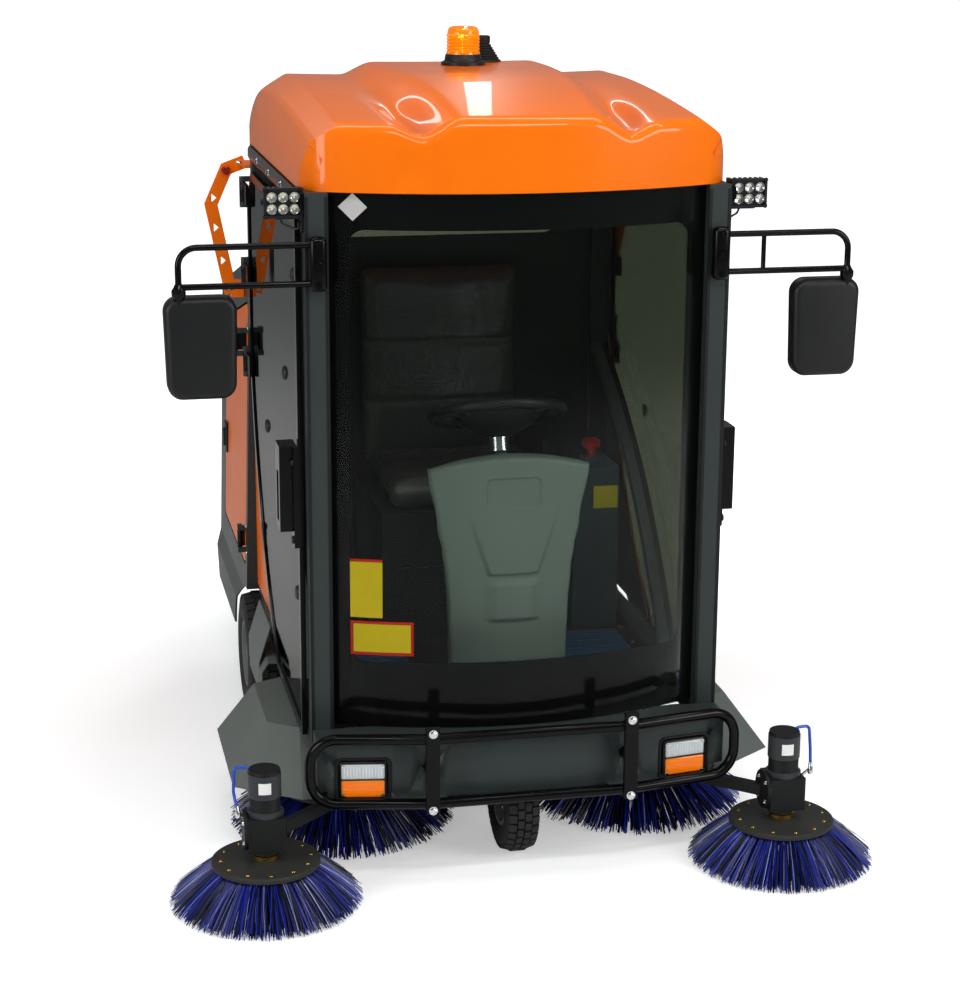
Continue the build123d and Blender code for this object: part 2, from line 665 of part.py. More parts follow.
with BuildPart() as steering_cowl:
    for height, width, depth in COWL_SECTIONS:
        with BuildSketch(Plane.XY.offset(FLOOR_TOP + height)) as section:
            with Locations((0, cowl_front_y + depth / 2)):
                Rectangle(width, depth)
            chamfer(section.vertices(), COWL_CORNER)
    loft(ruled=True)
    with BuildSketch(Plane.XZ.offset(-cowl_front_y)) as relief:
        with BuildLine():
            Polyline(*COWL_V, close=True)
        make_face()
        with Locations((0, sum(COWL_FRAME_Z) / 2)):
            Rectangle(2 * COWL_FRAME_HALF, COWL_FRAME_Z[1] - COWL_FRAME_Z[0])
            Rectangle(2 * COWL_FRAME_HALF - 16, COWL_FRAME_Z[1] - COWL_FRAME_Z[0] - 16, mode=Mode.SUBTRACT)
    extrude(amount=COWL_RELIEF)
save(steering_cowl.part, "steering_cowl")

# Steering column and wheel, tilted towards the driver.
COLUMN_TILT = 22.0
COLUMN_R = 26.0
COLUMN_AT = 640.0
COLUMN_L = 62.0
WHEEL_R = 190.0
WHEEL_RIM_R = 14.0
WHEEL_HUB_R = 38.0
WHEEL_HUB_H = 34.0
WHEEL_DISH = 62.0
SPOKE_W = 34.0
SPOKE_T = 9.0
column_base = Plane(
    origin=(0, FRONT_Y + COLUMN_AT, COWL_TOP_Z),
    x_dir=(1, 0, 0),
    z_dir=(0, sin(radians(COLUMN_TILT)), cos(radians(COLUMN_TILT))),
)

with BuildPart() as steering_column:
    with BuildSketch(column_base):
        Circle(COLUMN_R)
    extrude(amount=COLUMN_L)
    split(bisect_by=Plane.XY.offset(COWL_TOP_Z), keep=Keep.TOP)
    with BuildSketch(Plane.XY.offset(COWL_TOP_Z)):
        with Locations((0, FRONT_Y + COLUMN_AT)):
            Circle(COLUMN_R + 12)
    extrude(amount=10)
save(steering_column.part, "steering_column")

with BuildPart() as steering_wheel:
    rim_plane = column_base.offset(COLUMN_L + SEAT_GAP + WHEEL_DISH)
    hub_plane = column_base.offset(COLUMN_L + SEAT_GAP)
    with BuildSketch(Plane(origin=rim_plane.origin, x_dir=rim_plane.x_dir, z_dir=rim_plane.y_dir)):
        with Locations((WHEEL_R - WHEEL_RIM_R, 0)):
            RegularPolygon(WHEEL_RIM_R, 6, rotation=30)
    revolve(axis=Axis(rim_plane.origin, rim_plane.z_dir))
    with BuildSketch(hub_plane):
        Circle(WHEEL_HUB_R)
    extrude(amount=WHEEL_HUB_H)
    for spoke_turn in (90, 210, 330):
        direction = rim_plane.x_dir * cos(radians(spoke_turn)) + rim_plane.y_dir * sin(radians(spoke_turn))
        start = hub_plane.origin + rim_plane.z_dir * (WHEEL_HUB_H / 2) + direction * (WHEEL_HUB_R * 0.6)
        finish = rim_plane.origin + direction * (WHEEL_R - WHEEL_RIM_R)
        with BuildSketch(Plane(origin=start, x_dir=rim_plane.z_dir.cross(direction), z_dir=finish - start)):
            Rectangle(SPOKE_W, SPOKE_T)
        extrude(amount=(finish - start).length)
save(steering_wheel.part, "steering_wheel")

# Seat: a box base with vents, and two pads.
SEAT_HALF = 262.0
SEAT_FRONT_AT = 1000.0
SEAT_BASE_TOP = 800.0
SEAT_PAD_T = 95.0
SEAT_BACK_TOP = 1445.0
SEAT_BACK_T = 90.0
SEAT_BACK_GAP = 20.0
VENT_W = 34.0
VENT_H = 8.0
seat_front_y = FRONT_Y + SEAT_FRONT_AT
seat_back_y = cab_rear_y - PILLAR_D - SEAT_BACK_GAP - SEAT_BACK_T

with BuildPart() as seat_base:
    span_box((-SEAT_HALF, SEAT_HALF), (seat_front_y, seat_back_y), (FLOOR_TOP, SEAT_BASE_TOP))
    with Locations((-120, seat_front_y, 640)):
        with GridLocations(VENT_W + 14, VENT_H + 14, 4, 3):
            Box(VENT_W, 20, VENT_H, mode=Mode.SUBTRACT)
save(seat_base.part, "seat_base")

with BuildPart() as seat_pads:
    span_box(
        (-SEAT_HALF, SEAT_HALF),
        (seat_front_y - 20, seat_back_y - 10),
        (SEAT_BASE_TOP, SEAT_BASE_TOP + SEAT_PAD_T),
    )
    span_box(
        (-SEAT_HALF, SEAT_HALF),
        (seat_back_y, seat_back_y + SEAT_BACK_T),
        (SEAT_BASE_TOP, SEAT_BACK_TOP),
    )
    fillet(seat_pads.edges().filter_by(Axis.Z), 40)
save(seat_pads.part, "seat_pads")

# Rear wall of the cab with its window, between the rear pillars.
WALL_T = 12.0
REAR_WINDOW_HALF = 380.0
REAR_WINDOW_LOW = 1500.0
REAR_WINDOW_HIGH = 1700.0
wall_half = CAB_HALF - PILLAR_W
wall_front_y = cab_rear_y - PILLAR_D / 2 - WALL_T / 2

with BuildPart() as rear_wall:
    span_box(
        (-wall_half, wall_half), (wall_front_y, wall_front_y + WALL_T), (FLOOR_TOP, FRAME_TOP - TOP_RAIL_H)
    )
    with BuildSketch(Plane.XZ.offset(-wall_front_y)):
        with Locations((0, (REAR_WINDOW_LOW + REAR_WINDOW_HIGH) / 2)):
            RectangleRounded(2 * REAR_WINDOW_HALF, REAR_WINDOW_HIGH - REAR_WINDOW_LOW, 40)
    extrude(amount=-WALL_T, mode=Mode.SUBTRACT)
save(rear_wall.part, "rear_wall")

with BuildPart() as rear_window:
    with BuildSketch(Plane.XZ.offset(-(wall_front_y + 3))):
        with Locations((0, (REAR_WINDOW_LOW + REAR_WINDOW_HIGH) / 2)):
            RectangleRounded(
                2 * (REAR_WINDOW_HALF - SEAT_GAP), REAR_WINDOW_HIGH - REAR_WINDOW_LOW - 2 * SEAT_GAP, 40
            )
    extrude(amount=-5)
save(rear_window.part, "rear_window")

# Doors: hinged on the rear pillars, each a thin frame round one tinted pane, with the
# rear edge swept forward below, a long loop handle in front and three hinges behind.
DOOR_FRONT_Y = pillar_y + 70.0
DOOR_BOTTOM = 354.0
DOOR_TOP = 1715.0
DOOR_RIM = 24.0
DOOR_GLASS_T = 5.0
DOOR_REAR_INSET = 46.0       # from the cab's rear face to the door's rear edge
HANDLE_X = 46.0
HANDLE_LOW = 905.0
HANDLE_HIGH = 1130.0
HANDLE_BAR = 22.0

door_rear_y = cab_rear_y - DOOR_REAR_INSET
# the door's outline behind its straight lower edge: distance ahead of the rear edge, height
DOOR_HEEL = (558.0, DOOR_BOTTOM)
DOOR_SWEEP_MID = (165.0, 745.0)
DOOR_SWEEP_TOP = (0.0, 1170.0)


def door_outline():
    """The door's side view, in y and z."""
    heel = (door_rear_y - DOOR_HEEL[0], DOOR_HEEL[1])
    sweep_mid = (door_rear_y - DOOR_SWEEP_MID[0], DOOR_SWEEP_MID[1])
    sweep_top = (door_rear_y - DOOR_SWEEP_TOP[0], DOOR_SWEEP_TOP[1])
    with BuildSketch() as outline:
        with BuildLine():
            ThreePointArc(heel, sweep_mid, sweep_top)
            Polyline(
                sweep_top,
                (door_rear_y, DOOR_TOP - 110),
                (door_rear_y - 110, DOOR_TOP),
                (DOOR_FRONT_Y, DOOR_TOP),
                (DOOR_FRONT_Y, DOOR_BOTTOM),
                heel,
            )
        make_face()
    return outline.sketch


for side, side_name in ((1, "left"), (-1, "right")):
    with BuildPart() as door:
        with BuildSketch(Plane.YZ.offset(DOOR_X)):
            add(door_outline())
            offset(amount=-DOOR_RIM, mode=Mode.SUBTRACT)
        extrude(amount=DOOR_T)
        for hinge_z in DOOR_HINGE_Z:
            with Locations((hinge_x, hinge_y, hinge_z)):
                Cylinder(DOOR_HINGE_R, DOOR_HINGE_H)
            span_box(
                (DOOR_X + DOOR_T, hinge_x),
                (door_rear_y - 60, hinge_y),
                (hinge_z - DOOR_HINGE_H / 2, hinge_z + DOOR_HINGE_H / 2),
            )
        handle_x = DOOR_X + DOOR_T
        span_box(
            (handle_x, handle_x + 12), (DOOR_FRONT_Y, DOOR_FRONT_Y + 60), (HANDLE_LOW - 40, HANDLE_HIGH)
        )
        span_box(
            (handle_x, handle_x + HANDLE_X),
            (DOOR_FRONT_Y + 20, DOOR_FRONT_Y + 100),
            (HANDLE_LOW, HANDLE_HIGH),
        )
        span_box(
            (handle_x + 12, handle_x + HANDLE_X),
            (DOOR_FRONT_Y + 20 + HANDLE_BAR, DOOR_FRONT_Y + 100 - HANDLE_BAR),
            (HANDLE_LOW + HANDLE_BAR, HANDLE_HIGH - 70),
            mode=Mode.SUBTRACT,
        )
    with BuildPart() as door_glass:
        with BuildSketch(Plane.YZ.offset(DOOR_X + 4)):
            add(door_outline())
            offset(amount=-DOOR_RIM - SEAT_GAP, mode=Mode.REPLACE)
        extrude(amount=DOOR_GLASS_T)
    if side == 1:
        save(door.part, f"door_{side_name}")
        save(door_glass.part, f"door_glass_{side_name}")
    else:
        save(door.part.mirror(Plane.YZ), f"door_{side_name}")
        save(door_glass.part.mirror(Plane.YZ), f"door_glass_{side_name}")

# Quarter panels: the fixed panels behind the doors' swept edges.
QUARTER_LOW = 425.0

with BuildPart() as quarter_panels:
    with BuildSketch(Plane.YZ.offset(CAB_HALF)):
        with BuildLine():
            Polyline(
                (door_rear_y - 520, QUARTER_LOW),
                (cab_rear_y, QUARTER_LOW),
                (cab_rear_y, 1260),
                (door_rear_y - 20, 1170),
                (door_rear_y - 250, 700),
                (door_rear_y - 520, QUARTER_LOW),
            )
        make_face()
    extrude(amount=DOOR_X - CAB_HALF - SEAT_GAP)
    span_box(
        (CAB_HALF, DOOR_X),
        (hinge_y - DOOR_HINGE_R - SEAT_GAP, cab_rear_y),
        (DOOR_HINGE_Z[0] - DOOR_HINGE_H / 2 - LUG_H - 2 * SEAT_GAP, DOOR_TOP),
        mode=Mode.SUBTRACT,
    )
    mirror(about=Plane.YZ)
save(quarter_panels.part, "quarter_panels")

# Rear body: a sheet shell with sides that lean out downwards, a sloping top, wheel
# arches, side openings with lids and a top opening with the hood.
BODY_T = 6.0
BODY_GAP = 3.0               # behind the cab's rear wall
BODY_TOP_HALF = CAB_HALF + 6
BODY_LOW_HALF = CAB_HALF + 38
BODY_SKIRT_HALF = CAB_HALF + 55
BODY_FRONT_TOP = 1440.0
BODY_SLOPE = 0.25            # fall of the top per length
BODY_CREASE_Z = 380.0
BODY_FLARE_Z = 332.0
BODY_BOTTOM = 232.0
LID_FRONT_AT = 1660.0
LID_REAR_BEFORE = 155.0      # the overall rear end
LID_DROP = 125.0             # from the body's top edge to the lid's
LID_BOTTOM = 470.0
LID_GAP = 8.0
LID_CORNER_R = 30.0
LID_T = 6.0
LID_HINGE_R = 8.0
LID_HINGE_H = 55.0
LID_HINGE_Z = (560.0, 1180.0)
LID_HINGE_BEHIND = 14.0      # the opening's front edge
HOOD_HALF = BODY_TOP_HALF - 51
HOOD_FRONT_AT = 1700.0
HOOD_REAR_BEFORE = 120.0     # the overall rear end
HOOD_LIP = 24.0
HOOD_T = 6.0
HOOD_PIN_R = 8.0
HOOD_PIN_X = 350.0
HOOD_PIN_AHEAD = 14.0        # of the hood's front edge
HOOD_KNUCKLE_L = 80.0

body_front_y = cab_rear_y + BODY_GAP
lid_front_y = FRONT_Y + LID_FRONT_AT
lid_rear_y = REAR_Y - LID_REAR_BEFORE
lid_hinge_x = BODY_LOW_HALF + LID_HINGE_R + 4
lid_hinge_y = lid_front_y + LID_HINGE_BEHIND
hood_front_y = FRONT_Y + HOOD_FRONT_AT
hood_rear_y = REAR_Y - HOOD_REAR_BEFORE


def body_half(z):
    """Half width of the body above its crease."""
    lean = (BODY_LOW_HALF - BODY_TOP_HALF) / (BODY_FRONT_TOP - BODY_CREASE_Z)
    return BODY_TOP_HALF + lean * (BODY_FRONT_TOP - z)


def body_top_z(y):
    """Height of the body's sloping top."""
    return BODY_FRONT_TOP - BODY_SLOPE * (y - body_front_y)


hood_pin_y = hood_front_y - HOOD_LIP - HOOD_PIN_AHEAD
hood_pin_z = body_top_z(hood_front_y - HOOD_LIP) + SEAT_GAP + HOOD_T + HOOD_PIN_R


def body_section(inset):
    """The body's section across, in x and z."""
    top = BODY_FRONT_TOP + 60
    points = [
        (body_half(top) - inset, top),
        (BODY_LOW_HALF - inset, BODY_CREASE_Z),
        (BODY_SKIRT_HALF - inset, BODY_FLARE_Z),
        (BODY_SKIRT_HALF - inset, BODY_BOTTOM - inset),
    ]
    with BuildSketch() as outline:
        with BuildLine():
            Polyline(*points, *[(-x, z) for x, z in reversed(points)], close=True)
        make_face()
    return outline.sketch


def body_side_view(inset):
    """The body's side view, in y and z, cut by the sloping top and the rear chamfer."""
    front = body_front_y + inset
    rear = body_rear_y - inset
    with BuildSketch() as outline:
        with BuildLine():
            Polyline(
                (front, BODY_BOTTOM - inset),
                (front, body_top_z(front) - inset),
                (rear, body_top_z(rear) - inset),
                (rear, BODY_CREASE_Z + inset / 2),
                (rear - 90, BODY_BOTTOM - inset),
                close=True,
            )
        make_face()
    return outline.sketch


def body_form(inset):
    """The body's outer form, or the space inside its walls."""
    with BuildPart() as form:
        with BuildSketch(Plane.XZ.offset(-body_rear_y)):
            add(body_section(inset))
        extrude(amount=body_rear_y - body_front_y)
        with BuildSketch(Plane.YZ.offset(-BODY_SKIRT_HALF)):
            add(body_side_view(inset))
        extrude(amount=2 * BODY_SKIRT_HALF, mode=Mode.INTERSECT)
    return form.part


def lid_view(inset):
    """A side lid's outline, in y and z."""
    front = lid_front_y + inset
    rear = lid_rear_y - inset
    with BuildSketch() as outline:
        with BuildLine():
            Polyline(
                (front, LID_BOTTOM + inset),
                (front, body_top_z(front) - LID_DROP - inset),
                (rear, body_top_z(rear) - LID_DROP - inset),
                (rear, LID_BOTTOM + inset),
                close=True,
            )
        make_face()
        fillet(outline.vertices(), LID_CORNER_R)
    return outline.sketch


with BuildPart() as rear_body:
    add(body_form(0))
    add(body_form(BODY_T), mode=Mode.SUBTRACT)
    with BuildSketch(Plane.YZ.offset(-BODY_SKIRT_HALF)):
        add(lid_view(0))
        with Locations((rear_axle_y, REAR_WHEEL_R)):
            Circle(ARCH_R)
    extrude(amount=2 * BODY_SKIRT_HALF, mode=Mode.SUBTRACT)
    span_box(
        (-HOOD_HALF, HOOD_HALF),
        (hood_front_y, hood_rear_y),
        (BODY_FRONT_TOP - 400, BODY_FRONT_TOP + 50),
        mode=Mode.SUBTRACT,
    )
    span_box(
        (-RAIL_X - RAIL_W / 2, RAIL_X + RAIL_W / 2),
        (body_front_y, body_front_y + BODY_T),
        (BODY_BOTTOM - 20, rail_top),
        mode=Mode.SUBTRACT,
    )
    span_box(
        (-BODY_TOP_HALF + 12, BODY_TOP_HALF - 12),
        (body_front_y + BODY_T, body_rear_y - BODY_T),
        (rail_top, rail_top + BODY_T),
    )
    for pin_x in (-HOOD_PIN_X, HOOD_PIN_X):
        for lug_side in (-1, 1):
            lug_x = pin_x + lug_side * (HOOD_KNUCKLE_L / 2 + SEAT_GAP + LUG_H / 2)
            span_box(
                (lug_x - LUG_H / 2, lug_x + LUG_H / 2),
                (hood_pin_y - HOOD_PIN_R, hood_pin_y + HOOD_PIN_R),
                (body_top_z(hood_pin_y) - 4, hood_pin_z),
            )
            with Locations(Location((lug_x, hood_pin_y, hood_pin_z), (0, 90, 0))):
                Cylinder(HOOD_PIN_R, LUG_H)
                Cylinder(HOOD_PIN_R / 2 + BORE_GAP, LUG_H + 2, mode=Mode.SUBTRACT)
    for side in (-1, 1):
        for hinge_z in LID_HINGE_Z:
            for lug_side in (-1, 1):
                lug_z = hinge_z + lug_side * (LID_HINGE_H + LUG_H + 2 * SEAT_GAP) / 2
                with Locations((side * lid_hinge_x, lid_hinge_y, lug_z)):
                    Cylinder(LID_HINGE_R, LUG_H)
                span_box(
                    sorted((side * (lid_hinge_x - LID_HINGE_R), side * (lid_hinge_x + LID_HINGE_R))),
                    (lid_front_y - LID_HINGE_R, lid_hinge_y),
                    (lug_z - LUG_H / 2, lug_z + LUG_H / 2),
                )
                span_box(
                    sorted((side * (body_half(lug_z) - 2), side * lid_hinge_x)),
                    (lid_front_y - LID_HINGE_R, lid_front_y),
                    (lug_z - LUG_H / 2, lug_z + LUG_H / 2),
                )
save(rear_body.part, "rear_body")

with BuildPart() as lid_band:
    add(body_form(0))
    add(body_form(LID_T), mode=Mode.SUBTRACT)
    with BuildSketch(Plane.YZ.offset(0)):
        add(lid_view(LID_GAP))
    extrude(amount=2 * BODY_SKIRT_HALF, mode=Mode.INTERSECT)
with BuildPart() as side_lid:
    add(lid_band.part)
    for hinge_z in LID_HINGE_Z:
        with Locations((lid_hinge_x, lid_hinge_y, hinge_z)):
            Cylinder(LID_HINGE_R, LID_HINGE_H)
        span_box(
            (body_half(hinge_z) - 1, lid_hinge_x),
            (lid_hinge_y, lid_hinge_y + 40),
            (hinge_z - LID_HINGE_H / 2, hinge_z + LID_HINGE_H / 2),
        )
save(side_lid.part, "side_lid_left")
save(side_lid.part.mirror(Plane.YZ), "side_lid_right")

# Hood: a flat lid over the rear body's top opening, hinged at its front edge.
with BuildPart() as hood:
    with BuildSketch(Plane.YZ.offset(-HOOD_HALF - HOOD_LIP)):
        with BuildLine():
            low_front = body_top_z(hood_front_y - HOOD_LIP) + SEAT_GAP
            low_rear = body_top_z(hood_rear_y + HOOD_LIP) + SEAT_GAP
            Polyline(
                (hood_front_y - HOOD_LIP, low_front),
                (hood_rear_y + HOOD_LIP, low_rear),
                (hood_rear_y + HOOD_LIP, low_rear + HOOD_T),
                (hood_front_y - HOOD_LIP, low_front + HOOD_T),
                close=True,
            )
        make_face()
    extrude(amount=2 * (HOOD_HALF + HOOD_LIP))
    for pin_x in (-HOOD_PIN_X, HOOD_PIN_X):
        with Locations(Location((pin_x, hood_pin_y, hood_pin_z), (0, 90, 0))):
            Cylinder(HOOD_PIN_R, HOOD_KNUCKLE_L)
            Cylinder(HOOD_PIN_R / 2, HOOD_KNUCKLE_L + 2 * LUG_H)
        span_box(
            (pin_x - HOOD_KNUCKLE_L / 2, pin_x + HOOD_KNUCKLE_L / 2),
            (hood_pin_y, hood_pin_y + 50),
            (body_top_z(hood_pin_y) + SEAT_GAP, hood_pin_z),
        )
save(hood.part, "hood")

# Inside the rear body: the batteries as one block in front, the open dirt hopper behind.
BATTERY_HALF = 250.0
HOPPER_HALF = 430.0
HOPPER_TOP = 1080.0
BATTERY_TOP = 900.0
with BuildPart() as battery:
    span_box(
        (-BATTERY_HALF, BATTERY_HALF),
        (body_front_y + 40, body_front_y + 300),
        (rail_top + BODY_T, BATTERY_TOP),
    )
save(battery.part, "battery")

HOPPER_T = 8.0
hopper_front_y = body_front_y + 340
hopper_rear_y = body_rear_y - 60
hopper_low = rail_top + BODY_T
with BuildPart() as hopper:
    span_box((-HOPPER_HALF, HOPPER_HALF), (hopper_front_y, hopper_rear_y), (hopper_low, HOPPER_TOP))
    span_box(
        (-HOPPER_HALF + HOPPER_T, HOPPER_HALF - HOPPER_T),
        (hopper_front_y + HOPPER_T, hopper_rear_y - HOPPER_T),
        (hopper_low + HOPPER_T, HOPPER_TOP),
        mode=Mode.SUBTRACT,
    )
save(hopper.part, "hopper")

# Tail lamps let into the rear body's corners.
TAIL_X = CAB_HALF - 65
TAIL_Z = 620.0
with BuildPart() as tail_lamps:
    span_box((TAIL_X - 45, TAIL_X + 45), (body_rear_y, REAR_Y), (TAIL_Z - 80, TAIL_Z + 80))
    mirror(about=Plane.YZ)
save(tail_lamps.part, "tail_lamps")

# Body braces: bent straps with triangular holes, from the cab's rear corners down to
# the rear body's sides.
BRACE_T = 8.0
BRACE_W = 39.0
BRACE_AT = 1762.0
BRACE_PATH = (
    # x, z along the strap's middle
    (CAB_HALF, 1711.0),
    (CAB_HALF + 57, 1690.0),
    (CAB_HALF + 105, 1584.0),
    (CAB_HALF + 50, 1310.0),
)
BRACE_HOLES = ((CAB_HALF + 96, 1603.0), (CAB_HALF + 91, 1513.0), (CAB_HALF + 72, 1412.0))
BRACE_HOLE = ((-8.0, 0.0), (7.0, 13.0), (7.0, -13.0))    # a triangle's x, z about its place
brace_y = FRONT_Y + BRACE_AT

with BuildPart() as braces:
    with BuildSketch(Plane.XZ.offset(-brace_y)):
        with BuildLine() as strap_line:
            Polyline(*BRACE_PATH)
        trace(strap_line.line, line_width=BRACE_W)
    extrude(amount=-BRACE_T)
    span_box(
        (BRACE_PATH[0][0] - BRACE_W / 2, BRACE_PATH[0][0] + BRACE_W / 2),
        (cab_rear_y, brace_y + BRACE_T),
        (BRACE_PATH[0][1] - BRACE_T / 2, BRACE_PATH[0][1] + BRACE_T / 2),
    )
    with BuildSketch(Plane.XZ.offset(-brace_y)):
        for hole_x, hole_z in BRACE_HOLES:
            with BuildLine():
                Polyline(*[(hole_x + x, hole_z + z) for x, z in BRACE_HOLE], close=True)
            make_face()
    extrude(amount=-BRACE_T, mode=Mode.SUBTRACT)
    foot_low = BRACE_PATH[-1][1] - 12
    span_box(
        (body_half(foot_low) + SEAT_GAP, BRACE_PATH[-1][0]), (brace_y, brace_y + 40), (foot_low, foot_low + 50)
    )
    mirror(about=Plane.YZ)
save(braces.part, "braces")

# Rear axle and wheels.
REAR_WHEEL_W = 120.0
REAR_WHEEL_X = CAB_HALF - 7
AXLE_R = 36.0
STUB_R = 16.0
wheel_inner = REAR_WHEEL_X - REAR_WHEEL_W / 2

with BuildPart() as rear_axle:
    with Locations(Location((0, rear_axle_y, REAR_WHEEL_R), (0, 90, 0))):
        Cylinder(AXLE_R, 2 * (wheel_inner - RUN_GAP))
        Cylinder(STUB_R, 2 * (REAR_WHEEL_X + 20))
        Cylinder(95, 150)
    for side in (-1, 1):
        span_box(
            (side * RAIL_X - RAIL_W / 2, side * RAIL_X + RAIL_W / 2),
            (rear_axle_y - 30, rear_axle_y + 30),
            (REAR_WHEEL_R, rail_bottom),
        )
save(rear_axle.part, "rear_axle")


TYRE_FLATS = 72              # flats round a tyre: within 0.2 mm of the true circle
TYRE_PROFILE = (
    # distance from the middle over half the width, height over the section's height
    (-0.86, 0.04), (-1.0, 0.45), (-0.94, 0.8), (-0.72, 0.96), (0.0, 1.0), (0.72, 0.96), (0.94, 0.8), (1.0, 0.45), (0.86, 0.04),
)


def tyre_part(x, y, radius, width, rim_r):
    """A tyre standing on the ground, its axle along X."""
    with BuildPart() as tyre:
        for across, up in TYRE_PROFILE:
            with BuildSketch(Plane(origin=(x + across * width / 2, y, radius), x_dir=(0, 1, 0), z_dir=(1, 0, 0))):
                RegularPolygon(rim_r + up * (radius - rim_r), TYRE_FLATS)
        loft(ruled=True)
        with BuildSketch(Plane(origin=(x - width, y, radius), x_dir=(0, 1, 0), z_dir=(1, 0, 0))):
            RegularPolygon(rim_r, TYRE_FLATS, major_radius=False)
        extrude(amount=2 * width, mode=Mode.SUBTRACT)
    return tyre.part


def rim_part(x, y, radius, width, rim_r, bore_r, dish):
    """A pressed wheel with a hub, dished from one side."""
    with BuildPart() as rim:
        with Locations(Location((x, y, radius), (0, 90, 0))):
            Cylinder(rim_r - SEAT_GAP, width - 16)
        for dish_side in (-1, 1):
            with Locations(Location((x + dish_side * width / 2, y, radius), (0, 90, 0))):
                Cylinder(rim_r - 12, dish, mode=Mode.SUBTRACT)
        with Locations(Location((x, y, radius), (0, 90, 0))):
            Cylinder(bore_r + 22, width - 30)
            Cylinder(bore_r + BORE_GAP, 2 * width, mode=Mode.SUBTRACT)
    return rim.part


for side, side_name in ((1, "left"), (-1, "right")):
    wheel_x = side * REAR_WHEEL_X
    save(tyre_part(wheel_x, rear_axle_y, REAR_WHEEL_R, REAR_WHEEL_W, 105), f"rear_tyre_{side_name}")
    save(rim_part(wheel_x, rear_axle_y, REAR_WHEEL_R, REAR_WHEEL_W, 105, STUB_R, 80), f"rear_rim_{side_name}")

# Front fork and wheel under the cab floor.
FRONT_WHEEL_R = 160.0
FRONT_WHEEL_W = 92.0
FORK_LEG_T = 12.0
FORK_LEG_W = 50.0
FORK_CROWN_T = 12.0
FRONT_AXLE_R = 12.0
fork_inner = FRONT_WHEEL_W / 2 + RUN_GAP
crown_z = turntable_z - RUN_GAP + 2 - FORK_CROWN_T

with BuildPart() as front_fork:
    span_box(
        (-fork_inner - FORK_LEG_T, fork_inner + FORK_LEG_T),
        (front_axle_y - 60, front_axle_y + 60),
        (crown_z, crown_z + FORK_CROWN_T),
    )
    for side in (-1, 1):
        leg_x = side * (fork_inner + FORK_LEG_T / 2)
        span_box(
            (leg_x - FORK_LEG_T / 2, leg_x + FORK_LEG_T / 2),
            (front_axle_y - FORK_LEG_W / 2, front_axle_y + FORK_LEG_W / 2),
            (FRONT_WHEEL_R - 30, crown_z),
        )
    with Locations((0, front_axle_y, crown_z)):
        Cylinder(STEM_R, FLOOR_TOP - crown_z, align=(Align.CENTER, Align.CENTER, Align.MIN))
    with Locations(Location((0, front_axle_y, FRONT_WHEEL_R), (0, 90, 0))):
        Cylinder(FRONT_AXLE_R, 2 * (fork_inner + FORK_LEG_T + 8))
save(front_fork.part, "front_fork")
save(tyre_part(0, front_axle_y, FRONT_WHEEL_R, FRONT_WHEEL_W, 90), "front_tyre")
save(rim_part(0, front_axle_y, FRONT_WHEEL_R, FRONT_WHEEL_W, 90, FRONT_AXLE_R, 60), "front_rim")


TUFT_SECTIONS = (
    # height over the disc's, inner and outer edge between the disc's and the tips' radii,
    # width over the space round the brush
    (1.0, -0.42, -0.04, 0.97),
    (0.5, -0.02, 0.46, 0.95),
    (0.0, 0.42, 1.0, 0.90),
)
BRUSH_HUB_R = 30.0


def brush_part(x, y, disc_r, tip_r, disc_z, disc_t, hub_top, tufts):
    """A side brush: disc, hub and a ring of flared tufts of bristles."""
    with BuildPart() as tuft:
        for height, inner, outer, share in TUFT_SECTIONS:
            inner_r = disc_r + inner * (tip_r - disc_r)
            outer_r = disc_r + outer * (tip_r - disc_r)
            with BuildSketch(Plane.XY.offset(BRISTLE_FLOOR + height * (disc_z - BRISTLE_FLOOR))):
                with Locations(((inner_r + outer_r) / 2, 0)):
                    Rectangle(outer_r - inner_r, share * pi * (inner_r + outer_r) / tufts)
        loft(ruled=True)
    with BuildPart() as brush:
        with Locations((x, y, disc_z)):
            Cylinder(disc_r, disc_t, align=(Align.CENTER, Align.CENTER, Align.MIN))
            Cylinder(BRUSH_HUB_R, hub_top - disc_z, align=(Align.CENTER, Align.CENTER, Align.MIN))
        with Locations((x, y, 0)):
            with PolarLocations(0, tufts):
                add(tuft.part)
    return brush.part


# Front side brushes on arms that lift about a pin at the chassis.
BRISTLE_FLOOR = 4.0
FRONT_BRUSH_X = 690.0
FRONT_BRUSH_TIP_R = 250.0
FRONT_DISC_R = 139.0
FRONT_DISC_Z = 104.0
DISC_T = 14.0
GEARBOX = 95.0
GEARBOX_BOTTOM = 150.0
GEARBOX_TOP = 240.0
MOTOR_R = 40.0
MOTOR_TOP = 361.0
ARM_BAR_H = 30.0
ARM_BAR_W = 24.0
front_brush_y = FRONT_Y + FRONT_BRUSH_TIP_R

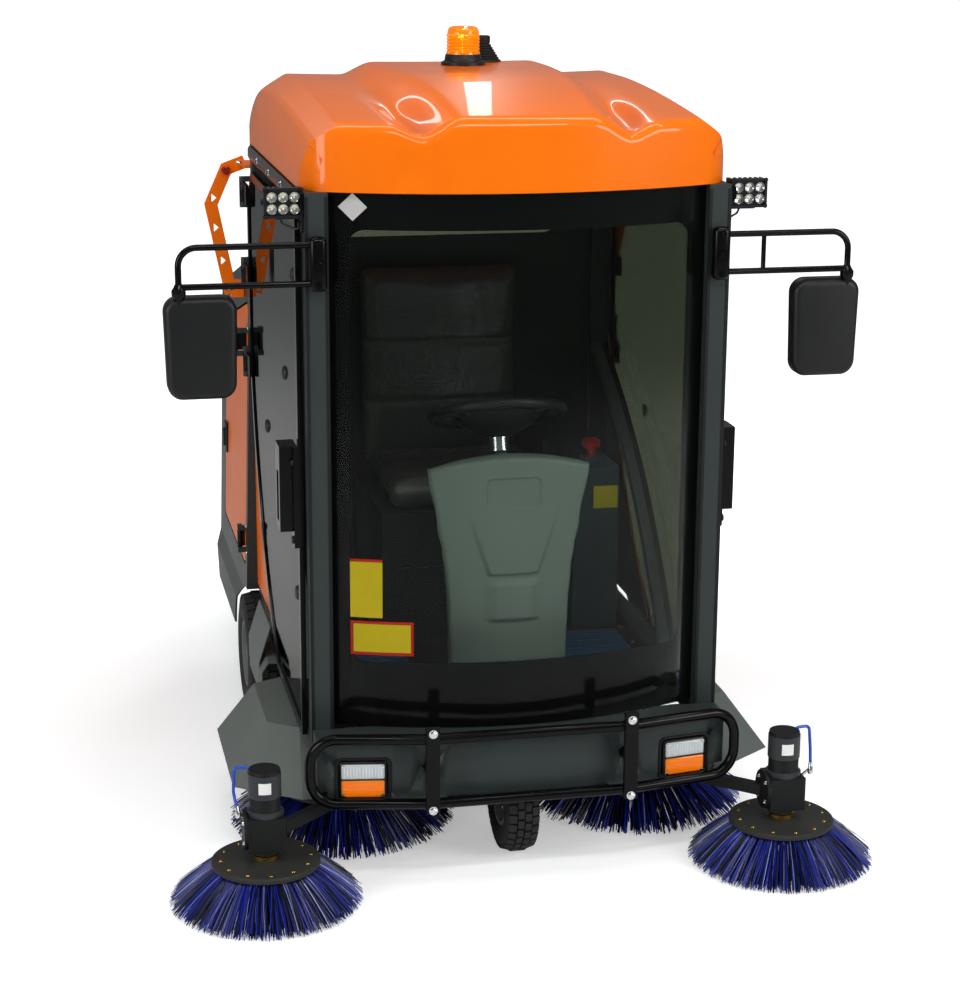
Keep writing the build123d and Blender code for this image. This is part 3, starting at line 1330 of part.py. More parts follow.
for side, side_name in ((1, "left"), (-1, "right")):
    brush_x = side * FRONT_BRUSH_X
    with BuildPart() as brush_arm:
        span_box(
            (brush_x - GEARBOX / 2, brush_x + GEARBOX / 2),
            (front_brush_y - GEARBOX / 2, front_brush_y + GEARBOX / 2),
            (GEARBOX_BOTTOM, GEARBOX_TOP),
        )
        with Locations((brush_x, front_brush_y, GEARBOX_TOP)):
            Cylinder(MOTOR_R, MOTOR_TOP - GEARBOX_TOP, align=(Align.CENTER, Align.CENTER, Align.MIN))
        with Locations(Location((brush_x - GEARBOX / 2 - 5, front_brush_y, 200), (0, 90, 0))):
            Cylinder(52, 10)
        with BuildSketch(Plane.XY.offset(ARM_PIVOT_Z - ARM_BAR_H / 2)):
            with BuildLine() as arm_line:
                Polyline(
                    (brush_x - side * GEARBOX / 2, front_brush_y + 20),
                    (side * (ARM_PIVOT_X + 60), arm_pivot_y),
                    (side * ARM_PIVOT_X, arm_pivot_y),
                )
            trace(arm_line.line, line_width=ARM_BAR_W)
        extrude(amount=ARM_BAR_H)
        with Locations(Location((side * ARM_PIVOT_X, arm_pivot_y, ARM_PIVOT_Z), (90, 0, 0))):
            Cylinder(ARM_LUG_R, ARM_LUG_L)
            Cylinder(ARM_PIN_R + BORE_GAP, 3 * ARM_LUG_L, mode=Mode.SUBTRACT)
    save(brush_arm.part, f"brush_arm_{side_name}")
    save(
        brush_part(
            brush_x, front_brush_y, FRONT_DISC_R, FRONT_BRUSH_TIP_R, FRONT_DISC_Z, DISC_T,
            GEARBOX_BOTTOM - SEAT_GAP, 24,
        ),
        f"front_brush_{side_name}",
    )

# Side brushes under the cab, hung with their motors from the chassis, and their hoods.
UNDER_BRUSH_X = 420.0
UNDER_BRUSH_TIP_R = 318.0
UNDER_DISC_R = 185.0
UNDER_MOTOR_R = 45.0
FENDER_LOW = 200.0
FENDER_TOP = SILL_BOTTOM     # seats under the sills
FENDER_T = 4.0
FENDER_IN_X = CAB_HALF - 30.0

for side, side_name in ((1, "left"), (-1, "right")):
    save(
        brush_part(
            side * UNDER_BRUSH_X, under_brush_y, UNDER_DISC_R, UNDER_BRUSH_TIP_R, FRONT_DISC_Z, DISC_T,
            GEARBOX_BOTTOM - SEAT_GAP, 28,
        ),
        f"under_brush_{side_name}",
    )

with BuildPart() as under_brush_mounts:
    with Locations((UNDER_BRUSH_X, under_brush_y, GEARBOX_BOTTOM)):
        Cylinder(UNDER_MOTOR_R, 190, align=(Align.CENTER, Align.CENTER, Align.MIN))
    span_box(
        (RAIL_X + RAIL_W / 2, UNDER_BRUSH_X), (under_brush_y - 40, under_brush_y + 40), (324, 340)
    )
    mirror(about=Plane.YZ)
save(under_brush_mounts.part, "under_brush_mounts")

# Brush fenders: folded sheet covers from the sills out over the under-cab brushes.
FENDER_PLAN_LOW = ((FENDER_IN_X, 80.0), (573.0, 80.0), (743.0, 204.0), (743.0, 640.0), (FENDER_IN_X, 760.0))
FENDER_PLAN_TOP = ((FENDER_IN_X, 228.0), (560.0, 228.0), (640.0, 290.0), (640.0, 600.0), (FENDER_IN_X, 660.0))
FENDER_BASE_AT = 330.0       # from the foremost tips to the plans' zero


def fender_form(inset):
    """The fender's outer form, or the space under it, which is open below."""
    with BuildPart() as form:
        for height, plan in ((FENDER_LOW, FENDER_PLAN_LOW), (FENDER_TOP - inset, FENDER_PLAN_TOP)):
            with BuildSketch(Plane.XY.offset(height)):
                with BuildLine():
                    Polyline(*[(x, FRONT_Y + FENDER_BASE_AT + y) for x, y in plan], close=True)
                make_face()
                if inset:
                    offset(amount=-inset, kind=Kind.INTERSECTION, mode=Mode.REPLACE)
        loft(ruled=True)
    return form.part


with BuildPart() as brush_fenders:
    add(fender_form(0))
    add(fender_form(FENDER_T), mode=Mode.SUBTRACT)
    span_box(
        (FENDER_IN_X, FENDER_IN_X + FENDER_T + 1),
        (pillar_y, roller_y),
        (FENDER_LOW, FENDER_TOP - FENDER_T),
        mode=Mode.SUBTRACT,
    )
    mirror(about=Plane.YZ)
save(brush_fenders.part, "brush_fenders")

# Side skirts between the fenders and the rear wheels.
SKIRT_FRONT_AT = 1095.0
SKIRT_REAR_AT = 1412.0
SKIRT_T = 5.0
with BuildPart() as side_skirts:
    with BuildSketch(Plane.XZ.offset(-(FRONT_Y + SKIRT_REAR_AT))):
        with BuildLine():
            Polyline(
                (CAB_HALF - 10, SILL_BOTTOM),
                (BODY_SKIRT_HALF - 20, SILL_BOTTOM),
                (BODY_SKIRT_HALF, SILL_BOTTOM - 30),
                (BODY_SKIRT_HALF, BODY_BOTTOM),
                (BODY_SKIRT_HALF - SKIRT_T, BODY_BOTTOM),
                (BODY_SKIRT_HALF - SKIRT_T, SILL_BOTTOM - 32),
                (BODY_SKIRT_HALF - 22, SILL_BOTTOM - SKIRT_T),
                (CAB_HALF - 10, SILL_BOTTOM - SKIRT_T),
                close=True,
            )
        make_face()
    extrude(amount=SKIRT_REAR_AT - SKIRT_FRONT_AT)
    mirror(about=Plane.YZ)
save(side_skirts.part, "side_skirts")

# Roller brush with its spiral of bristles, and the housing that covers it.
ROLLER_R = 150.0
ROLLER_HALF = 335.0
ROLLER_CORE_R = 70.0
ROLLER_ROWS = 10
ROLLER_ROW_W = 48.0
HOUSING_T = 6.0
roller_z = ROLLER_R + BRISTLE_FLOOR
housing_r = rail_bottom - roller_z
housing_half = ROLLER_HALF + RUN_GAP + HOUSING_T

with BuildPart() as roller_brush:
    roller_end = Plane(origin=(-ROLLER_HALF, roller_y, roller_z), x_dir=(0, 1, 0), z_dir=(1, 0, 0))
    with BuildSketch(roller_end):
        Circle(ROLLER_CORE_R)
        with PolarLocations((ROLLER_CORE_R + ROLLER_R) / 2, ROLLER_ROWS):
            Rectangle(ROLLER_R - ROLLER_CORE_R + 20, ROLLER_ROW_W)
        Circle(ROLLER_R, mode=Mode.INTERSECT)
    extrude(amount=2 * ROLLER_HALF)
    with Locations(Location((0, roller_y, roller_z), (0, 90, 0))):
        Cylinder(STUB_R, 2 * housing_half - 2)
save(roller_brush.part, "roller_brush")

with BuildPart() as roller_housing:
    with Locations(Location((0, roller_y, roller_z), (0, 90, 0))):
        Cylinder(housing_r, 2 * housing_half)
        Cylinder(housing_r - HOUSING_T, 2 * (housing_half - HOUSING_T), mode=Mode.SUBTRACT)
        Cylinder(STUB_R + BORE_GAP, 2 * housing_half, mode=Mode.SUBTRACT)
    span_box(
        (-housing_half, housing_half), (roller_y - housing_r, roller_y + housing_r), (-20, 100),
        mode=Mode.SUBTRACT,
    )
save(roller_housing.part, "roller_housing")
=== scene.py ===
import math
import random

import bmesh
import bpy
from mathutils import Matrix, Vector


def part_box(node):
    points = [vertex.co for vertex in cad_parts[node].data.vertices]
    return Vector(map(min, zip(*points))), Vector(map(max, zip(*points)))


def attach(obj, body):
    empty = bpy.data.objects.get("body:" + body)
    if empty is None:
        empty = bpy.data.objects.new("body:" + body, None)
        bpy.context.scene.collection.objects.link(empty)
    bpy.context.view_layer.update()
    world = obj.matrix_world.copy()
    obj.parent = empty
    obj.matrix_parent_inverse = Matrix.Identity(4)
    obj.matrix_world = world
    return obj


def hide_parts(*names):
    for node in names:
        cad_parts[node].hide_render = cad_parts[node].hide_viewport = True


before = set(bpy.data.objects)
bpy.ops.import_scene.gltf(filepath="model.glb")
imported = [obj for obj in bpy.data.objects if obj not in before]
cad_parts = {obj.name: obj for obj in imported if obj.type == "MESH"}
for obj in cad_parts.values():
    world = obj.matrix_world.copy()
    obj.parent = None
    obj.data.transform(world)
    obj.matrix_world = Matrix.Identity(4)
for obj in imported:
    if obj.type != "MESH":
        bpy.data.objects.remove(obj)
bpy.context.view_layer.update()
random.seed(7)

# Camera. It stands where the photograph was taken from: in front of the machine, to its
# right side, a little above the roof, looking down over a long lens.
CAMERA_PLACE = Vector((-1.2633, -6.2251, 2.4793))
CAMERA_YAW, CAMERA_PITCH, CAMERA_ROLL = math.radians(12.10), math.radians(15.07), 0.00592
LENS_MM, SENSOR_MM = 80.35, 36

ahead = Vector((math.sin(CAMERA_YAW) * math.cos(CAMERA_PITCH), math.cos(CAMERA_YAW) * math.cos(CAMERA_PITCH),
                -math.sin(CAMERA_PITCH)))
level_right = Vector((math.cos(CAMERA_YAW), -math.sin(CAMERA_YAW), 0))
level_up = level_right.cross(ahead)
camera_right = math.cos(CAMERA_ROLL) * level_right + math.sin(CAMERA_ROLL) * level_up
camera_up = math.cos(CAMERA_ROLL) * level_up - math.sin(CAMERA_ROLL) * level_right
lens = bpy.data.cameras.new("camera")
lens.sensor_width = SENSOR_MM
lens.lens = LENS_MM
camera = bpy.data.objects.new("camera", lens)
camera.matrix_world = Matrix.Translation(CAMERA_PLACE) @ Matrix(
    (camera_right, camera_up, -ahead)
).transposed().to_4x4()
bpy.context.scene.collection.objects.link(camera)
bpy.context.scene.camera = camera
bpy.context.scene.view_settings.view_transform = "Standard"


# Floor and light. A matt studio floor with a painted glow, seen only from the camera, that runs up to
# white away from the machine and is weaker near it, a painted shade round it; strip lamps in rows
# overhead as in a workshop hall, and soft lamps beside the camera.
def linear(code):
    """A colour written as an sRGB hex code, as linear values."""
    parts = [int(code[i:i + 2], 16) / 255 for i in (1, 3, 5)]
    return (*[c / 12.92 if c < 0.04045 else ((c + 0.055) / 1.055) ** 2.4 for c in parts], 1.0)


def feed(tree, node, inputs):
    """Sets a node's inputs: each gets a value or another node's output."""
    for name, value in inputs.items():
        if isinstance(value, bpy.types.NodeSocket):
            tree.links.new(value, node.inputs[name])
        else:
            node.inputs[name].default_value = value


def add_node(tree, kind, inputs, **settings):
    """A shader node with its settings and inputs."""
    node = tree.nodes.new("ShaderNode" + kind)
    for name, value in settings.items():
        setattr(node, name, value)
    feed(tree, node, inputs)
    return node


def object_space(tree):
    """The piece's own coordinates, in metres."""
    return add_node(tree, "TexCoord", {}).outputs["Object"]


def seen_directly(tree):
    """1 for rays from the camera, straight or through glass."""
    rays = add_node(tree, "LightPath", {})
    return add_node(tree, "Math", {0: rays.outputs["Is Camera Ray"], 1: rays.outputs["Is Transmission Ray"]},
                    operation="MAXIMUM").outputs[0]


def new_finish(name):
    """A new material: its node tree and its one shader."""
    material = bpy.data.materials.new(name)
    material.use_nodes = True
    return material, material.node_tree, material.node_tree.nodes["Principled BSDF"]


ROOM_LEVEL = 0.24
world = bpy.data.worlds.new("studio")
bpy.context.scene.world = world
world.use_nodes = True
sky = world.node_tree
room = sky.nodes["Background"]
feed(sky, room, {"Color": linear("#EEF1F4"), "Strength": ROOM_LEVEL})
white = add_node(sky, "Background", {"Color": (1, 1, 1, 1), "Strength": 1.0})
shown = add_node(sky, "MixShader", {0: seen_directly(sky), 1: room.outputs[0], 2: white.outputs[0]})
feed(sky, sky.nodes["World Output"], {"Surface": shown.outputs[0]})

FLOOR_HALF = 40.0
FLOOR_GLOW = (0.4, 1.0)
# Inside this reach the floor's painted glow is weaker, which leaves a painted shade round the machine.
SHADOW_REACH = (1.2, 2.4)        # metres from the middle, where the floor starts and ends its change to white
bm = bmesh.new()
bmesh.ops.create_grid(bm, x_segments=1, y_segments=1, size=FLOOR_HALF)
floor_mesh = bpy.data.meshes.new("floor")
bm.to_mesh(floor_mesh)
bm.free()
studio_floor = bpy.data.objects.new("floor", floor_mesh)
bpy.context.scene.collection.objects.link(studio_floor)
floor_finish, tree, shader = new_finish("matt white floor")
from_middle = add_node(tree, "VectorMath", {0: object_space(tree)}, operation="LENGTH").outputs["Value"]
# The floor's glow is painted light that only the camera sees. It is weaker near the machine, a painted shade
# round it.
glow = add_node(tree, "MapRange", {
    "Value": from_middle, "From Min": SHADOW_REACH[0], "From Max": SHADOW_REACH[1],
    "To Min": FLOOR_GLOW[0], "To Max": FLOOR_GLOW[1],
}, interpolation_type="SMOOTHSTEP")
glow_seen = add_node(tree, "Math", {0: glow.outputs[0], 1: seen_directly(tree)}, operation="MULTIPLY")
feed(tree, shader, {"Base Color": linear("#F4F4F4"), "Roughness": 0.9, "Specular IOR Level": 0.1,
                    "Emission Color": (1, 1, 1, 1), "Emission Strength": glow_seen.outputs[0]})
floor_mesh.materials.append(floor_finish)

LAMPS = (
    # name, place, aims at, length, width, watts
    ("overhead strip left", (1.25, -0.9, 4.6), (0.7, -0.4, 1.0), 3.4, 0.3, 34),
    ("overhead strip right", (-1.45, -0.7, 4.6), (-0.7, -0.4, 1.0), 3.4, 0.3, 34),
    ("overhead strip front", (0.0, -3.4, 4.4), (0.0, -0.6, 1.2), 0.35, 3.0, 60),
    ("left lamp", (4.0, -4.6, 2.8), (0.0, -0.4, 1.0), 2.4, 2.4, 140),
    ("right lamp", (-4.8, -3.2, 2.4), (0.0, -0.2, 1.0), 2.4, 2.4, 115),
    ("hall strip left", (0.9, 3.6, 4.4), (0.4, -0.3, 2.0), 2.6, 0.14, 7),
    ("hall strip right", (-1.3, 3.2, 4.4), (-0.4, -0.3, 2.0), 2.6, 0.14, 7),
    ("back lamp", (1.5, 4.8, 3.4), (0.0, 0.4, 1.2), 2.4, 1.2, 60),
)
for name, place, target, length, width, watts in LAMPS:
    lamp = bpy.data.lights.new(name, "AREA")
    lamp.shape = "RECTANGLE"
    lamp.size, lamp.size_y, lamp.energy = width, length, watts
    lamp_object = bpy.data.objects.new(name, lamp)
    lamp_object.matrix_world = Matrix.Translation(place) @ (
        Vector(target) - Vector(place)
    ).to_track_quat("-Z", "Y").to_matrix().to_4x4()
    lamp_object.visible_glossy = name != "back lamp"
    bpy.context.scene.collection.objects.link(lamp_object)


# Cab frame and chassis. Square steel tube, welded, and powder coated in slate grey; the
# rails, axle and fork below are painted black. Coats are even, finely pebbled, a little dusty.
SMOOTH_ANGLE, BEVEL_ANGLE = math.radians(32), math.radians(40)
WELD, SEAM = 0.00002, 0.00005
# Both textures are too fine to show, so they are drawn this many times coarser than they are.
PEBBLE_MM, PEBBLE_COARSER, GRAIN_COARSER = 1.6, 6, 5


def powder_coat(name, color, roughness=0.38, coat=0.0, dust=0.12, mirror=0.22, inner=None):
    """Powder coating: a fine pebble under a soft gloss, dulled by dust in patches.

    inner gives another coat's colour, and the measure of (x to the side, y, z) below which it shows."""
    material, tree, shader = new_finish(name)
    place = object_space(tree)
    pebbles = add_node(tree, "TexNoise",
                       {"Vector": place, "Scale": 1000 / PEBBLE_MM / PEBBLE_COARSER, "Detail": 2.0})
    bump = add_node(tree, "Bump", {"Height": pebbles.outputs[0], "Strength": 0.12, "Distance": 0.0002})
    patches = add_node(tree, "TexNoise", {"Vector": place, "Scale": 4.0, "Detail": 6.0, "Roughness": 0.6})
    tone = add_node(tree, "MapRange", {"Value": patches.outputs[0], "To Min": 1 - dust, "To Max": 1 + dust})
    dull = add_node(tree, "MapRange",
                    {"Value": patches.outputs[0], "To Min": roughness - 0.06, "To Max": roughness + 0.1})
    tint = add_node(tree, "Mix", {0: 1.0, 6: linear(color), 7: tone.outputs[0]},
                    data_type="RGBA", blend_type="MULTIPLY")
    if inner:
        inner_color, measure, limit = inner
        mirrored = add_node(tree, "VectorMath", {0: place}, operation="ABSOLUTE")
        measured = add_node(tree, "VectorMath", {0: mirrored.outputs[0], 1: measure}, operation="DOT_PRODUCT")
        outside = add_node(tree, "Math", {0: measured.outputs["Value"], 1: limit}, operation="GREATER_THAN")
        coats = add_node(tree, "Mix", {0: outside.outputs[0], 6: linear(inner_color), 7: linear(color)},
                         data_type="RGBA")
        feed(tree, tint, {6: coats.outputs[2]})
    feed(tree, shader, {
        "Base Color": tint.outputs[2], "Roughness": dull.outputs[0], "Normal": bump.outputs[0],
        "Specular IOR Level": mirror, "Coat Weight": coat, "Coat Roughness": 0.15,
    })
    return material


def dress(material, *nodes, edge=0.0):
    """Gives CAD nodes a finish, and their sharp edges a small radius where one is asked for."""
    for node in nodes:
        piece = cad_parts[node]
        piece.data.materials.clear()
        piece.data.materials.append(material)
        weld = piece.modifiers.new("weld", "WELD")
        weld.merge_threshold = WELD
        if edge:
            bevel = piece.modifiers.new("edge", "BEVEL")
            bevel.width, bevel.segments = edge, 2
            bevel.limit_method, bevel.angle_limit = "ANGLE", BEVEL_ANGLE
            bevel.harden_normals = True


def finished(bm, name, material, body, *nodes, slot):
    """Makes a piece of a bmesh: closed, faces outwards, riding on a body, for the CAD nodes it replaces."""
    bmesh.ops.recalc_face_normals(bm, faces=bm.faces)
    mesh = bpy.data.meshes.new(name)
    bm.to_mesh(mesh)
    bm.free()
    mesh.materials.append(material)
    mesh.shade_smooth()
    mesh.set_sharp_from_angle(angle=SMOOTH_ANGLE)
    piece = bpy.data.objects.new(name, mesh)
    bpy.context.scene.collection.objects.link(piece)
    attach(piece, body)
    if nodes:
        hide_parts(*nodes)


def rounded_block(bm, low, high, radius, segments=3):
    """A block between two corners, with rounded edges."""
    low, high = Vector(low), Vector(high)
    new = bmesh.ops.create_cube(bm, size=1.0)["verts"]
    bmesh.ops.scale(bm, vec=high - low, verts=new)
    edges = list({edge for vertex in new for edge in vertex.link_edges})
    rounded = bmesh.ops.bevel(bm, geom=edges, offset=radius, offset_type="OFFSET", segments=segments,
                              profile=0.5, affect="EDGES", clamp_overlap=True, material=-1)["verts"]
    kept = {vertex for vertex in new if vertex.is_valid}
    bmesh.ops.translate(bm, vec=(low + high) / 2, verts=list(set(rounded) | kept))


def turned(bm, outline, axis_point, axis=(0, 0, 1), segments=48):
    """Spins an outline of (distance from the axis, height along it) points about an axis."""
    axis = Vector(axis).normalized()
    side = axis.orthogonal().normalized()
    points = [bm.verts.new(Vector(axis_point) + side * out + axis * up) for out, up in outline]
    edges = [bm.edges.new(pair) for pair in zip(points, points[1:])]
    bmesh.ops.spin(bm, geom=points + edges, cent=axis_point, axis=axis, angle=math.tau, steps=segments,
                   use_merge=True, use_duplicate=False)
    near = {vertex for face in bm.faces for vertex in face.verts
            if (vertex.co - Vector(axis_point)).cross(axis).length < 0.0001}
    bmesh.ops.remove_doubles(bm, verts=list(near), dist=SEAM)


def circle_section(radius, sides=12):
    """The section of a round bar."""
    return [(radius * math.cos(math.tau * side / sides), radius * math.sin(math.tau * side / sides))
            for side in range(sides)]


def round_path(points, radius, steps=6):
    """A path with its corners taken round arcs of one radius."""
    points = [Vector(point) for point in points]
    path = [points[0]]
    for before, corner, after in zip(points, points[1:], points[2:]):
        into, out = (corner - before).normalized(), (after - corner).normalized()
        angle = into.angle(out)
        if angle < 0.01:
            path.append(corner)
            continue
        reach = radius * math.tan(angle / 2)
        centre = corner + (out - into).normalized() * radius / math.cos(angle / 2)
        start = corner - into * reach - centre
        axis = into.cross(out).normalized()
        path += [centre + Matrix.Rotation(angle * step / steps, 3, axis) @ start for step in range(steps + 1)]
    return path + [points[-1]]


def pushed(bm, edges):
    """Extrudes edges in place, and gives the new edges and their vertices."""
    made = bmesh.ops.extrude_edge_only(bm, edges=edges)["geom"]
    ring = {item for item in made if isinstance(item, bmesh.types.BMVert)}
    rim = [item for item in made if isinstance(item, bmesh.types.BMEdge) and set(item.verts) <= ring]
    return rim, list(ring)


def drawn(bm, section, points, side=(0, 0, 1)):
    """Draws a section along points. Its first measure lies along side, as near as the path allows."""
    points = [Vector(point) for point in points]
    frames = []
    for index, point in enumerate(points):
        along = (points[min(index + 1, len(points) - 1)] - points[max(index - 1, 0)]).normalized()
        across = Vector(side) - along * along.dot(Vector(side))
        across = across.normalized() if across.length > 0.05 else along.orthogonal().normalized()
        turn = Matrix((across, along.cross(across), along)).transposed().to_4x4()
        frames.append(Matrix.Translation(point) @ turn)
    ring = [bm.verts.new(frames[0] @ Vector((a, b, 0))) for a, b in section]
    edges = [bm.edges.new(pair) for pair in zip(ring, ring[1:] + ring[:1])]
    bmesh.ops.contextual_create(bm, geom=edges)
    for before, after in zip(frames, frames[1:]):
        edges, ring = pushed(bm, edges)
        bmesh.ops.transform(bm, matrix=after @ before.inverted(), verts=ring)
    bmesh.ops.contextual_create(bm, geom=edges)


# The washer, the head's flats and its chamfer: sides, radius below and above, depth and middle, in shares.
HEAD_CONES = ((20, 0.86, 0.82, 0.25, 0.125), (6, 0.577, 0.577, 0.7, 0.6), (6, 0.577, 0.47, 0.15, 1.02))


def hex_bolt(bm, place, axis, across=0.013, height=0.006):
    """A hexagon bolt's head, chamfered, on its washer."""
    seat = Matrix.Translation(Vector(place)) @ Vector(axis).to_track_quat("Z", "Y").to_matrix().to_4x4()
    for sides, low, high, depth, middle in HEAD_CONES:
        bmesh.ops.create_cone(bm, cap_ends=True, segments=sides, radius1=across * low, radius2=across * high,
                              depth=height * depth, matrix=seat @ Matrix.Translation((0, 0, height * middle)))


def bolted(name, bolts, body="machine"):
    """Plated bolts as one piece, each given as hex_bolt takes it."""
    bm = bmesh.new()
    for bolt in bolts:
        hex_bolt(bm, *bolt)
    finished(bm, name, chrome, body, slot="rim_steel")


def plated_metal(name, color, roughness=0.16):
    """Bright plated or bare metal, with the fine scratches of handling."""
    material, tree, shader = new_finish(name)
    scratches = add_node(tree, "TexNoise", {"Vector": object_space(tree), "Scale": 240.0, "Detail": 4.0})
    dull = add_node(tree, "MapRange",
                    {"Value": scratches.outputs[0], "To Min": roughness * 0.75, "To Max": roughness * 1.5})
    feed(tree, shader, {"Base Color": linear(color), "Metallic": 1.0, "Roughness": dull.outputs[0]})
    return material


def moulded_plastic(name, color, roughness=0.5, grain_mm=1.2, grain=0.12, coat=0.0, patch=0.08, mirror=0.3):
    """Moulded plastic or rubber: a spark-eroded grain, a little uneven in gloss."""
    material, tree, shader = new_finish(name)
    place = object_space(tree)
    leather = add_node(tree, "TexNoise",
                       {"Vector": place, "Scale": 1000 / grain_mm / GRAIN_COARSER, "Detail": 3.0})
    bump = add_node(tree, "Bump", {"Height": leather.outputs[0], "Strength": grain, "Distance": 0.0003})
    patches = add_node(tree, "TexNoise", {"Vector": place, "Scale": 9.0, "Detail": 4.0})
    tone = add_node(tree, "MapRange", {"Value": patches.outputs[0], "To Min": 1 - patch, "To Max": 1 + patch})
    dull = add_node(tree, "MapRange",
                    {"Value": patches.outputs[0], "To Min": roughness - 0.05, "To Max": roughness + 0.08})
    tint = add_node(tree, "Mix", {0: 1.0, 6: linear(color), 7: tone.outputs[0]},
                    data_type="RGBA", blend_type="MULTIPLY")
    feed(tree, shader, {
        "Base Color": tint.outputs[2], "Roughness": dull.outputs[0], "Normal": bump.outputs[0],
        "Specular IOR Level": mirror, "Coat Weight": coat,
    })
    return material


slate_coat = powder_coat("slate powder coat", "#2E3534")
black_coat = powder_coat("black powder coat", "#060607", roughness=0.17, mirror=0.16)
dark_steel = powder_coat("black chassis paint", "#121314", roughness=0.5)
chrome = plated_metal("bright zinc plating", "#D8DADC")
seal_rubber = moulded_plastic("black seal rubber", "#0B0B0C", roughness=0.55)
black_moulding = moulded_plastic("black moulded plastic", "#161718", roughness=0.42)
dress(slate_coat, "cab_frame", "rear_wall", "seat_base", edge=0.0025)
dress(dark_steel, "chassis", "cab_floor", "rear_axle", "front_fork", "under_brush_mounts", "roller_housing",
      edge=0.001)

CAB_HALF, PILLAR_FACE_Y = 0.545, -0.813
SEAL_INNER_X, SEAL_LOW, SEAL_HIGH = 0.4915, 0.36, 1.775
bm = bmesh.new()
for side in (-1, 1):
    for seal_x in (CAB_HALF - 0.003, SEAL_INNER_X):
        drawn(bm, [(-0.004, -0.003), (0.004, -0.003), (0.004, 0.003), (0.0, 0.005), (-0.004, 0.003)],
              [(side * seal_x, PILLAR_FACE_Y + 0.001, z) for z in (SEAL_LOW, SEAL_HIGH)], side=(1, 0, 0))
finished(bm, "pillar_seals", seal_rubber, "machine", slot="black_plastic")

RAIL_FRONT_Y, RAIL_END_Y, RAIL_Z = -0.81, 0.32, 1.762
RAIL_BOLT_YS = (-0.72, -0.45, -0.18, 0.09)
bm = bmesh.new()
for side in (-1, 1):
    drawn(bm, [(-0.019, 0.0), (-0.019, 0.010), (-0.010, 0.014), (0.010, 0.014), (0.019, 0.010), (0.019, 0.0)],
          [(side * (CAB_HALF + 0.0005), y, RAIL_Z) for y in (RAIL_FRONT_Y, RAIL_END_Y)], side=(0, 0, side))
finished(bm, "gutter_rails", black_coat, "machine", slot="black_steel")
bolted("gutter_bolts", [((side * (CAB_HALF + 0.014), y, RAIL_Z), (side, 0, 0), 0.012)
                        for side in (-1, 1) for y in RAIL_BOLT_YS])


# Windows. Laminated glass in front, with a black fired-on band round the clear field, and
# toughened glass, tinted a little, in the doors and the rear wall.
def pane(name, color, shine):
    """Window glass as a thin pane: it lets the view through unbent, and mirrors at its face."""
    material, tree, shader = new_finish(name)
    clear = add_node(tree, "BsdfTransparent", {"Color": linear(color)})
    smear = add_node(tree, "TexNoise", {"Vector": object_space(tree), "Scale": 3.0, "Detail": 6.0})
    haze = add_node(tree, "MapRange", {"Value": smear.outputs[0], "To Min": 0.0, "To Max": 0.004})
    gloss = add_node(tree, "BsdfGlossy", {"Color": (1, 1, 1, 1), "Roughness": 0.02})
    facing = add_node(tree, "Fresnel", {"IOR": 1.45})
    mirrored = add_node(tree, "Math", {0: facing.outputs[0], 1: shine}, operation="MULTIPLY")
    share = add_node(tree, "Math", {0: mirrored.outputs[0], 1: haze.outputs[0]}, operation="ADD")
    mix = add_node(tree, "MixShader", {0: share.outputs[0], 1: clear.outputs[0], 2: gloss.outputs[0]})
    feed(tree, tree.nodes["Material Output"], {"Surface": mix.outputs[0]})
    tree.nodes.remove(shader)
    return material


dress(pane("laminated windscreen glass", "#F0F4F1", 0.12), "windscreen")
dress(pane("tinted side glass", "#8A8E80", 0.55), "door_glass_left", "door_glass_right", "rear_window")
fired_black = moulded_plastic("black fired-on enamel", "#020202", roughness=0.6, grain=0.0, patch=0.02,
                              mirror=0.1)
dress(fired_black, "windscreen_band")

SCREEN_Y, SCREEN_ARC = -0.892, 1.173
STICKER_PROUD, STICKER_T = 0.0008, 0.0006


def on_screen(x, z):
    """A point just off the windscreen's outer face."""
    return Vector((x, SCREEN_Y + SCREEN_ARC - math.sqrt((SCREEN_ARC + STICKER_PROUD) ** 2 - x * x), z))


def stickers(name, material, fields):
    """Stickers on the windscreen: bent sheets, each between two corners given as (x, z, x, z)."""
    bm = bmesh.new()
    for x_low, z_low, x_high, z_high in fields:
        new = bmesh.ops.create_grid(bm, x_segments=8, y_segments=1, size=0.5)["verts"]
        for vertex in new:
            vertex.co = on_screen(x_low + (vertex.co.x + 0.5) * (x_high - x_low),
                                  z_low + (vertex.co.y + 0.5) * (z_high - z_low))
        faces = list({face for vertex in new for face in vertex.link_faces})
        bmesh.ops.solidify(bm, geom=faces, thickness=STICKER_T)
    finished(bm, name, material, "machine", slot="clear_glass")


notice_yellow = moulded_plastic("yellow vinyl sticker", "#DFCB1E", roughness=0.35, grain=0.0)
notice_red = moulded_plastic("red vinyl sticker", "#C62A1C", roughness=0.35, grain=0.0)
notice_white = moulded_plastic("white vinyl sticker", "#E8E8E6", roughness=0.35, grain=0.0)
stickers("windscreen_notices", notice_yellow, ((-0.441, 0.694, -0.362, 0.842), (-0.434, 0.601, -0.292, 0.676)))
stickers("windscreen_notice_borders", notice_red, (
    (-0.441, 0.843, -0.362, 0.850), (-0.441, 0.593, -0.285, 0.600), (-0.441, 0.677, -0.285, 0.684),
    (-0.441, 0.601, -0.435, 0.676), (-0.291, 0.601, -0.285, 0.676)))
DIAMOND_X, DIAMOND_Z, DIAMOND_HALF = -0.427, 1.749, 0.034
bm = bmesh.new()
diamond = bmesh.ops.create_circle(bm, cap_ends=True, segments=4, radius=DIAMOND_HALF)["verts"]
for vertex in diamond:
    vertex.co = on_screen(DIAMOND_X + vertex.co.x, DIAMOND_Z + vertex.co.y)
bmesh.ops.solidify(bm, geom=list(bm.faces), thickness=STICKER_T)
finished(bm, "windscreen_diamond", notice_white, "machine", slot="clear_glass")


